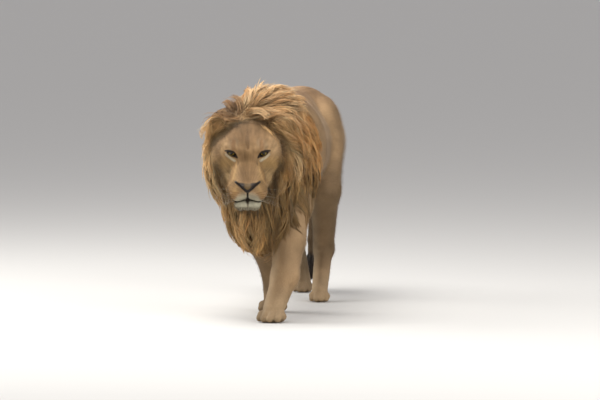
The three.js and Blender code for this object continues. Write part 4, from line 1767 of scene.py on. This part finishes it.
def keep_outside(lines, gap):
    """Moves the points of lines out of the skin."""
    flat = lines.reshape(-1, 3).copy()
    for _ in range(2):
        distance = distance_at(WHOLE_SKIN, flat)
        close = np.flatnonzero(distance < gap)
        push = (gap - distance[close])[:, None] * slope_at(WHOLE_SKIN, flat[close])
        flat[close] += np.clip(push, -14, 14)
    return flat.reshape(lines.shape)


def grown_locks(roots):
    """Locks gathered into clumps: the roots keep their places and the tips draw together."""
    chance = np.random.default_rng(MANE_GROWTH_SEED)
    count = len(roots)
    points = len(LOCK_TAPER)
    guides = roots[chance.permutation(count)[:CLUMPS]]
    guide_length = mane_length(guides) * chance.uniform(0.8, 1.25, CLUMPS)
    guide_tip = chance.uniform(*TIP_DEPTHS, CLUMPS)
    guide_lines = walk(guides, guide_length, guide_tip, points)
    small = roots[chance.permutation(count)[:SMALL_CLUMPS]]
    small_of = nearest_of(guides, small)
    of_small = nearest_of(small, roots)
    clump = small_of[of_small]
    along = np.linspace(0, 1, points)[None, :, None]
    middle = guide_lines[small_of] - guides[small_of][:, None]
    small_offset = (small - guides[small_of])[:, None]
    small_lines = guides[small_of][:, None] + middle + small_offset * (1 - 0.5 * along**1.3)
    ripple = chance.normal(0, 1, (SMALL_CLUMPS, 1, 3)) * 5 * along
    small_lines += ripple * np.sin(along * 5 + chance.uniform(0, 6, (SMALL_CLUMPS, 1, 1)))
    offset = (roots - small[of_small])[:, None]
    reach = chance.uniform(0.55, 1.12, (count, 1))
    place = np.minimum(reach * np.linspace(0, 1, points), 1) * (points - 1)
    before = np.minimum(place.astype(int), points - 2)
    share = (place - before)[:, :, None]
    row = of_small[:, None]
    lines = small_lines[row, before] * (1 - share) + small_lines[row, before + 1] * share
    lines = lines + offset * (1 - 0.5 * along**0.9)
    stray = chance.normal(0, 1, (count, 1, 3)) * chance.gamma(1.3, 2.2, (count, 1, 1))
    lines += stray * along**1.5
    lines[:, 0] = roots
    return lines, clump, of_small


def nearest_of(points, places):
    """The number of the nearest of the points to each place."""
    tree = KDTree(len(points))
    for index, point in enumerate(points):
        tree.insert(point, index)
    tree.balance()
    return np.array([tree.find(place)[1] for place in places])


def build_locks(prefix, lines, girth, colours, uv, material, pieces):
    """Cuts a head of locks into pieces of equal numbers and draws them."""
    order = np.argsort(lines[:, 0, 1], kind="stable")
    names = [f"{prefix}_{index + 1}" for index in range(pieces)] if pieces > 1 else [prefix]
    return [
        draw_locks(name, lines[part], girth[part], colours[part], uv[part], material)
        for name, part in zip(names, np.array_split(order, pieces))
    ]


MANE_MIDDLE = -17.4  # across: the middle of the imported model's box
MANE_REACH = 249  # locks that reach further to a side are pressed in
HEM_HEIGHTS = (400, 480, 560, 660)
HEM_REACH = (50, 115, 175, 270)  # how far to the left the mane's roots reach at those heights


def build_mane(skin, count, width, colours):
    """The mane: locks that lie over each other, gathered in clumps."""
    roots = Roots(skin)
    under = distance_at(melt(20, MANE, EAR_HUMPS), roots.middles)
    q = to_head(roots.middles)
    x, z = roots.middles[:, 0], roots.middles[:, 2]
    hem = np.interp(z, HEM_HEIGHTS, HEM_REACH)
    off_face = np.where(head_share(roots.middles) > 0, smooth(-2, 16, past_face(q)), 1)
    density = np.maximum(smooth(-12, -30, under), off_face * (under < 14)) * off_face
    facing_out = (roots.facing * slope_at(ENVELOPE, roots.middles)).sum(1)
    density *= smooth(-0.4, 0.3, facing_out) * smooth(-170, -90, under)
    density *= smooth(hem + 14, hem - 26, x)
    places, _, uv, _ = roots.draw(count, density, MANE_ROOT_SEED)
    lines, clump, small = grown_locks(places)
    lines = keep_outside(lines, 1.5)
    across = lines[..., 0] - MANE_MIDDLE
    lines[..., 0] -= np.sign(across) * np.maximum(np.abs(across) - MANE_REACH, 0) * 0.6
    chance = np.random.default_rng(MANE_SHADE_SEED)
    middle = lines[:, 3]
    colour = mane_colour(middle, *colours)
    shade = chance.normal(1, 0.13, clump.max() + 1)[clump]  # clumps, small clumps, locks
    shade = shade * chance.normal(1, 0.1, small.max() + 1)[small]
    shade = shade * chance.normal(1, 0.08, count)
    warm = chance.normal(0, 0.05, small.max() + 1)[small]
    colour = colour * np.clip(shade, 0.6, 1.22)[:, None] * (1 + warm[:, None] * (1, 0, -1))
    along = np.linspace(0, 1, len(LOCK_SHADE))[:, None]
    shade = LOCK_SHADE[:, None] * (1 + along * (0, 0.02, 0.1))
    drawn_colours = colour[:, None] * shade[None]
    girth = width / 2 * chance.uniform(0.65, 1.35, count)[:, None] * LOCK_TAPER[None]
    material = hair_material("mane_hair", 0.62, 0.06)
    drawn_colours = np.minimum(drawn_colours, MANE_LIGHTEST)
    return build_locks("mane", lines, girth, drawn_colours, uv, material, MANE_PIECES)


def chin_share(q):
    """One under the chin, where the fur at the face's edge hangs straight down."""
    return smooth(-205, -225, front_height(q)) * smooth(-40, -70, q[:, 1])


def ruff_lie(points):
    """The way the longer fur at the face's edge lies: from the coat's way to the mane's."""
    q = to_head(points)
    past = smooth(-30, 30, past_face(q))[:, None]
    lie = unit(coat_lie(points) * (1 - past) + mane_lie(points) * (0.3 + past))
    return unit(blend(lie, np.array((0, -0.1, -1.0)), chin_share(q)[:, None]))


def ruff_length(points):
    """Length of the fur at the face's edge: longer away from the face."""
    q = to_head(points)
    upper = smooth(20, 70, front_height(q))
    length = 16 + (44 + 44 * upper) * smooth(-32, 26, past_face(q))
    return length + (20 - length) * chin_share(q)


RUFF_TAPER = np.array((0.7, 1.0, 0.9, 0.6, 0.12))
RUFF_SHADE = np.array((0.8, 0.92, 1.02, 1.1, 1.16))


def build_ruff(skin, count, colours):
    """Fur that grows longer round the face's edge and carries it over into the mane."""
    roots = Roots(skin)
    q = to_head(roots.middles)
    past = past_face(q)
    start = np.interp(front_height(q), (-150, -100, -40), (-4, -16, -38))
    height = front_height(q)
    density = smooth(0, 32, past - start) * smooth(60, 30, past - 45 * smooth(10, 60, height))
    density = density * (head_share(roots.middles) > 0.5)
    fringe = smooth(-226, -240, height) * smooth(74, 66, np.abs(q[:, 0]))
    fringe = fringe * smooth(-60, -80, q[:, 1]) * smooth(-275, -262, height)
    places, _, uv, tints = roots.draw(count, np.maximum(density, fringe * 1.6), RUFF_ROOT_SEED)
    chance = np.random.default_rng(RUFF_SHADE_SEED)
    points = len(RUFF_TAPER)
    line = np.empty((count, points, 3))
    line[:, 0] = places
    here = places.copy()
    step = ruff_length(places) * chance.uniform(0.7, 1.25, count) / (points - 1)
    turn = chance.normal(0, 0.22, count)[:, None]
    lift = chance.uniform(0.1, 0.42, count)[:, None]
    for index in range(1, points):
        normal = slope_at(WHOLE_SKIN, here)
        flow = swung(flat_on(ruff_lie(here), normal), normal, turn)
        here = here + (flow + normal * lift * (1 - 0.2 * index)) * step[:, None]
        line[:, index] = here
    line = keep_outside(line, 0.8)
    past = smooth(-20, 40, past_face(to_head(line[:, 2])))[:, None]
    colour = tints * (1 - past) + mane_colour(line[:, 2], *colours) * past
    middle = to_head(line[:, 2])
    # Painted shade in the hollow between the jaw and the mane, and painted shadow under the mane's
    # swept edge.
    dark = np.maximum(cheek_crease_shade(middle) * (1 - past[:, 0]), swept_edge_shadow(middle))
    colour = tint(colour, MANE_DARK * 0.8, dark * 0.8)
    shade = chance.normal(1.04, 0.13, count)
    shade = shade * (1 + 0.08 * mottle(places, (9, 9, 9), RUFF_MOTTLE_SEED))
    drawn_colours = (colour * shade[:, None])[:, None] * RUFF_SHADE[None, :, None]
    drawn_colours = np.clip(drawn_colours, 0, 1)
    girth = chance.uniform(0.7, 1.15, count)[:, None] * RUFF_TAPER[None]
    material = hair_material("ruff_hair", 0.66, 0.05)
    return build_locks("ruff", line, girth, drawn_colours, uv, material, RUFF_PIECES)


def build_tail_tuft(skin, count):
    """The dark tuft round the end of the tail."""
    chance = np.random.default_rng(TAIL_SEED)
    end = np.array(TAIL_LINE[-1], float)
    start = end + 0.5 * (np.array(TAIL_LINE[-2], float) - end)
    share = chance.random(count) ** 0.7
    ring = chance.random(count) * 2 * math.pi
    outwards = columns(np.cos(ring), np.sin(ring), 0)
    places = start + (end - start) * share[:, None] + outwards * (12 - 5 * share[:, None])
    along = np.linspace(0, 1, len(LOCK_TAPER))[None, :, None]
    length = chance.uniform(50, 85, count)[:, None, None] * (1 - 0.2 * share[:, None, None])
    down = np.array((0, 0.02, -1.0))
    swell = chance.uniform(6, 24, (count, 1, 1)) * np.sin(along * 2.6)
    swell = swell - (6 + 4 * share[:, None, None]) * along**2
    lines = places[:, None] + down * length * along + outwards[:, None] * swell
    lines += chance.normal(0, 2.4, (count, 1, 3)) * along
    girth = 1.9 * chance.uniform(0.7, 1.3, count)[:, None] * LOCK_TAPER[None]
    shade = chance.normal(1, 0.2, count)[:, None, None] * LOCK_SHADE[None, :, None]
    colours = np.clip(TAIL_DARK * shade, 0.004, 1)
    roots = Roots(skin)
    uv = roots.uv[roots.loops[nearest_of(roots.middles, places), 0]]
    material = hair_material("tail_tuft_hair", 0.6, 0.1)
    return build_locks("tail_hair", lines, girth, colours, uv, material, 1)


MOST_TUFTS = 45000  # in one piece of the coat
TUFT_SINK = 0.4  # of the tufts' roots under the skin


def coat_size(points):
    """Length, half width and half thickness of the short tufts, in millimetres."""
    z = points[:, 2]
    length = np.full(len(points), 17.0)
    length = length + (13 - length) * smooth(560, 440, z)
    length = length + (7.5 - length) * smooth(150, 60, z)
    q = to_head(points)
    share = head_share(points)
    face = 5.5 + 7 * smooth(-60, 110, q[:, 1]) + 4 * smooth(-90, -140, q[:, 2])
    face = face * (1 - 0.35 * smooth(40, 15, np.abs(np.abs(q[:, 0]) - EYE_SPREAD)))
    length = length + (face - length) * share
    width = 0.9 + 0.055 * length
    return columns(width, width * 0.5, length)


def build_coat(skin, count):
    """Short tufts all over the trunk, legs, tail, head and ears."""
    roots = Roots(skin)
    middles = roots.middles
    q = to_head(middles)
    share = head_share(middles)
    sizes = coat_size(middles)
    density = 1 / (sizes[:, 2] * sizes[:, 0]) ** 0.8
    withers = smooth(-450, -330, middles[:, 1])
    density = density * smooth(-30, -16, distance_at(MANE, middles) + 34 * withers)
    density = density * (1 - smooth(-0.5, -0.9, roots.facing[:, 2]) * (middles[:, 2] < 14))
    lines = drawn(q, PARTING_LINE, 5), drawn(q, MOUTH_LINE, 6)
    bare = np.max((*nose_mask(q), *lines, lid_rim(q)), axis=0)
    density = density * (1 - bare * (share > 0.5))
    places, normals, uv, tints = roots.draw(count, density, COAT_ROOT_SEED)
    chance = np.random.default_rng(COAT_SHADE_SEED)
    turn = chance.normal(0, 0.16, count)[:, None]
    lie = swung(flat_on(coat_lie(places), normals), normals, turn)
    lift = np.abs(chance.normal(0.1, 0.045, count))[:, None]
    lie = unit(lie * np.cos(lift) + normals * np.sin(lift))
    size = coat_size(places)
    shade = chance.normal(1.08, 0.1, count)[:, None]
    colours = np.clip(tints * shade, 0, 1)
    places = places - normals * TUFT_SINK
    material = hair_material("short_coat", 0.7, 0.05)
    order = np.argsort(places[:, 1], kind="stable")
    fields = (places, lie, normals, size, colours, uv)
    made = []
    for index, part in enumerate(np.array_split(order, math.ceil(count / MOST_TUFTS))):
        name = f"coat_{index + 1}"
        seed = TUFT_SEED + index
        made.append(draw_tufts(name, *(field[part] for field in fields), material, seed))
    return made


WHISKER_RADIUS = 0.4
WHISKER_TAPER = np.array((1, 0.9, 0.75, 0.55, 0.35, 0.12))


def build_whiskers(count):
    """Long stiff whiskers from the pads of the upper lip, and a few over the eyes."""
    chance = np.random.default_rng(WHISKER_SEED)
    row = np.arange(count) // 2 % 4
    column = np.arange(count) // 8
    side = np.where(np.arange(count) % 2 == 0, -1.0, 1.0)
    roots = columns(side * (40 + 6 * column), -168 + 13 * column - row, -112 - 9 * row)
    distance = distance_at(HEAD_SKIN, roots)[:, None]
    roots = roots - (distance + 1) * slope_at(HEAD_SKIN, roots)
    along = np.linspace(0, 1, len(WHISKER_TAPER))[None, :, None]
    length = chance.uniform(85, 130, count)[:, None, None]
    way = columns(side, 0.3 + chance.normal(0, 0.1, count), -0.15 - 0.1 * row)
    lines = roots[:, None] + unit(way)[:, None] * length * along
    lines = lines - np.array((0, 0, 1.0)) * 26 * along**2  # hanging at the tip
    lines = lines + np.array((0, 1.0, 0)) * 20 * along**2
    lines = from_head(lines.reshape(-1, 3)).reshape(lines.shape)
    girth = np.tile(WHISKER_RADIUS * WHISKER_TAPER, (count, 1))
    uv = np.full((count, 2), 0.5)
    colours = np.ones(lines.shape)
    return build_locks("whiskers", lines, girth, colours, uv, whisker_material(), 1)


# ------------------------------------------------------------------ the stage

VIEW_AZIMUTH = math.radians(8.5)
VIEW_ELEVATION = math.radians(4.2)
VIEW_DISTANCE = 30
VIEW_CENTRE = (78.4, 0, 481.7)
VIEW_LENS = 400
VIEW_REACH = 500
FLOOR_HALF = 90
SKY_COLOUR = (0.95, 0.95, 1, 1)
SKY_STRENGTH = 0.6
# Name, place from the lion's middle in metres, size and power of each lamp.
LAMPS = (
    ("key", (-1.2, -1.4, 5.0), 3.6, 330),
    ("fill", (4.2, -3.2, 2.2), 3, 130),
    ("rim", (-4.2, 0.4, 2.6), 3, 130),
)


def area_light(name, place, aim, size, power):
    """A soft square lamp aimed at a point."""
    lamp = bpy.data.lights.new(name, "AREA")
    lamp.size = size
    lamp.energy = power
    thing = place_object(name, lamp)
    thing.location = place
    direction = Vector(aim) - Vector(place)
    thing.rotation_euler = direction.to_track_quat("-Z", "Y").to_euler()


def build_stage(strength, floor_colour):
    """The floor, the pale surroundings, the lamps and the camera."""
    half = FLOOR_HALF
    corners = [(-half, -half, 0), (half, -half, 0), (half, half, 0), (-half, half, 0)]
    mesh = bpy.data.meshes.new("floor")
    mesh.from_pydata(corners, [], [(0, 1, 2, 3)])
    bpy.context.scene.view_settings.view_transform = "Standard"
    shade = new_material("floor_pale")[1]
    mesh.materials.append(shade({"Base Color": (*floor_colour, 1), "Roughness": 0.9}))
    place_object("floor", mesh)
    world = bpy.data.worlds.new("surroundings")
    bpy.context.scene.world = world
    world.use_nodes = True
    sky = {"Color": SKY_COLOUR, "Strength": SKY_STRENGTH * strength}
    fill(world.node_tree, world.node_tree.nodes["Background"], sky)
    middle = to_scene(np.array([(0, -200, 600)]))[0]
    for name, offset, size, power in LAMPS:
        area_light(name, middle + offset, middle, size, power * strength)
    camera_data = bpy.data.cameras.new("camera")
    camera_data.lens = VIEW_LENS
    camera_data.sensor_width = 36
    camera_data.clip_end = VIEW_REACH
    camera = place_object("camera", camera_data)
    out = math.cos(VIEW_ELEVATION)
    across, ahead = math.sin(VIEW_AZIMUTH) * out, -math.cos(VIEW_AZIMUTH) * out
    away = Vector((across, ahead, math.sin(VIEW_ELEVATION)))
    centre = Vector(to_scene(np.array([VIEW_CENTRE]))[0])
    camera.location = centre + away * VIEW_DISTANCE
    camera.rotation_euler = (-away).to_track_quat("-Z", "Y").to_euler()
    bpy.context.scene.camera = camera


# ------------------------------------------------------------------ settings and operators

FLESH = (
    "trunk",
    "head",
    "lower_jaw",
    "nose",
    "ear_left",
    "ear_right",
    "tail",
    *(f"{part}_{side}" for part, side in product(
        ("upper_arm", "forearm", "forepaw", "thigh", "shank", "hindpaw"), ("left", "right")
    )),
)


def count_property(name, description, default, least):
    """A number of pieces that a user may change."""
    return bpy.props.IntProperty(name=name, description=description, default=default, min=least)


def colour_property(name, description, default):
    """A colour that a user may change."""
    return bpy.props.FloatVectorProperty(
        name=name, description=description, default=default, subtype="COLOR", min=0, max=1
    )


class LionHair(bpy.types.PropertyGroup):
    """Numbers and widths of the hair."""

    ruff: count_property("Ruff locks", "Number of short locks round the face", 10500, 100)
    locks: count_property("Mane locks", "Number of locks in the mane", 22000, 500)
    lock_width: bpy.props.FloatProperty(
        name="Lock width",
        description="Width of one lock of the mane",
        default=0.0034,
        unit="LENGTH",
        min=0.0005,
    )
    tufts: count_property("Coat tufts", "Number of short tufts of the coat", 112000, 500)
    tail_locks: count_property("Tail locks", "Number of locks in the tail's tuft", 1500, 50)
    whiskers: count_property("Whiskers", "Number of whiskers", 24, 2)


class LionColours(bpy.types.PropertyGroup):
    """Colours of the coat, the mane and the eyes."""

    coat: colour_property("Coat", "Main colour of the short coat", (0.36, 0.232, 0.12))
    gold: colour_property("Mane crest", "Light hair on top of the mane", (0.7, 0.46, 0.225))
    rust: colour_property("Mane", "Main colour of the mane", (0.53, 0.305, 0.112))
    iris: colour_property("Iris", "Colour of the iris", (0.2, 0.14, 0.03))


class LionStage(bpy.types.PropertyGroup):
    """Light and floor of the stage."""

    floor: colour_property("Floor", "Colour of the floor", (0.62, 0.6, 0.56))
    strength: bpy.props.FloatProperty(
        name="Light", description="Brightness of all the lamps", default=1.0, min=0.05
    )


class LION_OT_skin(bpy.types.Operator):
    """Build the skin with its markings"""

    bl_idname = "lion.skin"
    bl_label = "Skin"

    def execute(self, context):
        skin = build_skin(np.array(context.scene.lion_colours.coat))
        skin.data.materials.clear()
        skin.data.materials.append(skin_material())
        finish_piece(skin, FLESH)
        return {"FINISHED"}


class LION_OT_eyes(bpy.types.Operator):
    """Build the two eyeballs"""

    bl_idname = "lion.eyes"
    bl_label = "Eyes"

    def execute(self, context):
        material = eye_material(context.scene.lion_colours.iris)
        for side, node in ((1, "eye_left"), (-1, "eye_right")):
            piece = build_eye(side)
            piece.data.materials.append(material)
            finish_piece(piece, (node,))
        return {"FINISHED"}


class LION_OT_coat(bpy.types.Operator):
    """Set the short tufts of the coat"""

    bl_idname = "lion.coat"
    bl_label = "Short coat"

    def execute(self, context):
        for piece in build_coat(bpy.data.objects["skin"], context.scene.lion_hair.tufts):
            finish_piece(piece)
        return {"FINISHED"}


class LION_OT_mane(bpy.types.Operator):
    """Grow the mane"""

    bl_idname = "lion.mane"
    bl_label = "Mane"

    def execute(self, context):
        hair = context.scene.lion_hair
        skin = bpy.data.objects["skin"]
        palette = context.scene.lion_colours
        colours = np.array(palette.gold), np.array(palette.rust)
        pieces = build_mane(skin, hair.locks, hair.lock_width / METRES, colours)
        finish_piece(pieces[0], ("mane_ruff", "neck", "mane_chest"))
        for piece in pieces[1:]:
            finish_piece(piece)
        for piece in build_ruff(skin, hair.ruff, colours):
            finish_piece(piece)
        return {"FINISHED"}


class LION_OT_tail_tuft(bpy.types.Operator):
    """Grow the dark tuft of the tail"""

    bl_idname = "lion.tail_tuft"
    bl_label = "Tail tuft"

    def execute(self, context):
        skin = bpy.data.objects["skin"]
        for piece in build_tail_tuft(skin, context.scene.lion_hair.tail_locks):
            finish_piece(piece, ("tail_tuft",))
        return {"FINISHED"}


class LION_OT_whiskers(bpy.types.Operator):
    """Set the whiskers"""

    bl_idname = "lion.whiskers"
    bl_label = "Whiskers"

    def execute(self, context):
        for piece in build_whiskers(context.scene.lion_hair.whiskers):
            finish_piece(piece)
        return {"FINISHED"}


class LION_OT_stage(bpy.types.Operator):
    """Set the floor, the lamps and the camera"""

    bl_idname = "lion.stage"
    bl_label = "Stage"

    def execute(self, context):
        stage = context.scene.lion_stage
        build_stage(stage.strength, stage.floor)
        return {"FINISHED"}


class LION_PT_build(bpy.types.Panel):
    """Lists the steps of the build."""

    bl_label = "Walking lion"
    bl_idname = "LION_PT_build"
    bl_space_type = "VIEW_3D"
    bl_region_type = "UI"
    bl_category = "Lion"

    def draw(self, context):
        scene = context.scene
        for group in (scene.lion_hair, scene.lion_colours, scene.lion_stage):
            for name in group.__annotations__:
                self.layout.prop(group, name)
        for step in STEPS:
            self.layout.operator(step.bl_idname)


STEPS = (
    LION_OT_stage,
    LION_OT_skin,
    LION_OT_eyes,
    LION_OT_coat,
    LION_OT_mane,
    LION_OT_tail_tuft,
    LION_OT_whiskers,
)
CLASSES = (LionHair, LionColours, LionStage, *STEPS, LION_PT_build)


def register():
    """Registers the classes and hangs the settings on the scene."""
    for entry in CLASSES:
        bpy.utils.register_class(entry)
    bpy.types.Scene.lion_hair = bpy.props.PointerProperty(type=LionHair)
    bpy.types.Scene.lion_colours = bpy.props.PointerProperty(type=LionColours)
    bpy.types.Scene.lion_stage = bpy.props.PointerProperty(type=LionStage)


def unregister():
    """Takes the settings and the classes away again."""
    del bpy.types.Scene.lion_hair
    del bpy.types.Scene.lion_colours
    del bpy.types.Scene.lion_stage
    for entry in reversed(CLASSES):
        bpy.utils.unregister_class(entry)


def main():
    """Builds the lion."""
    register()
    for step in (
        bpy.ops.lion.stage,
        bpy.ops.lion.skin,
        bpy.ops.lion.eyes,
        bpy.ops.lion.coat,
        bpy.ops.lion.mane,
        bpy.ops.lion.tail_tuft,
        bpy.ops.lion.whiskers,
    ):
        step()


if __name__ == "__main__":
    main()
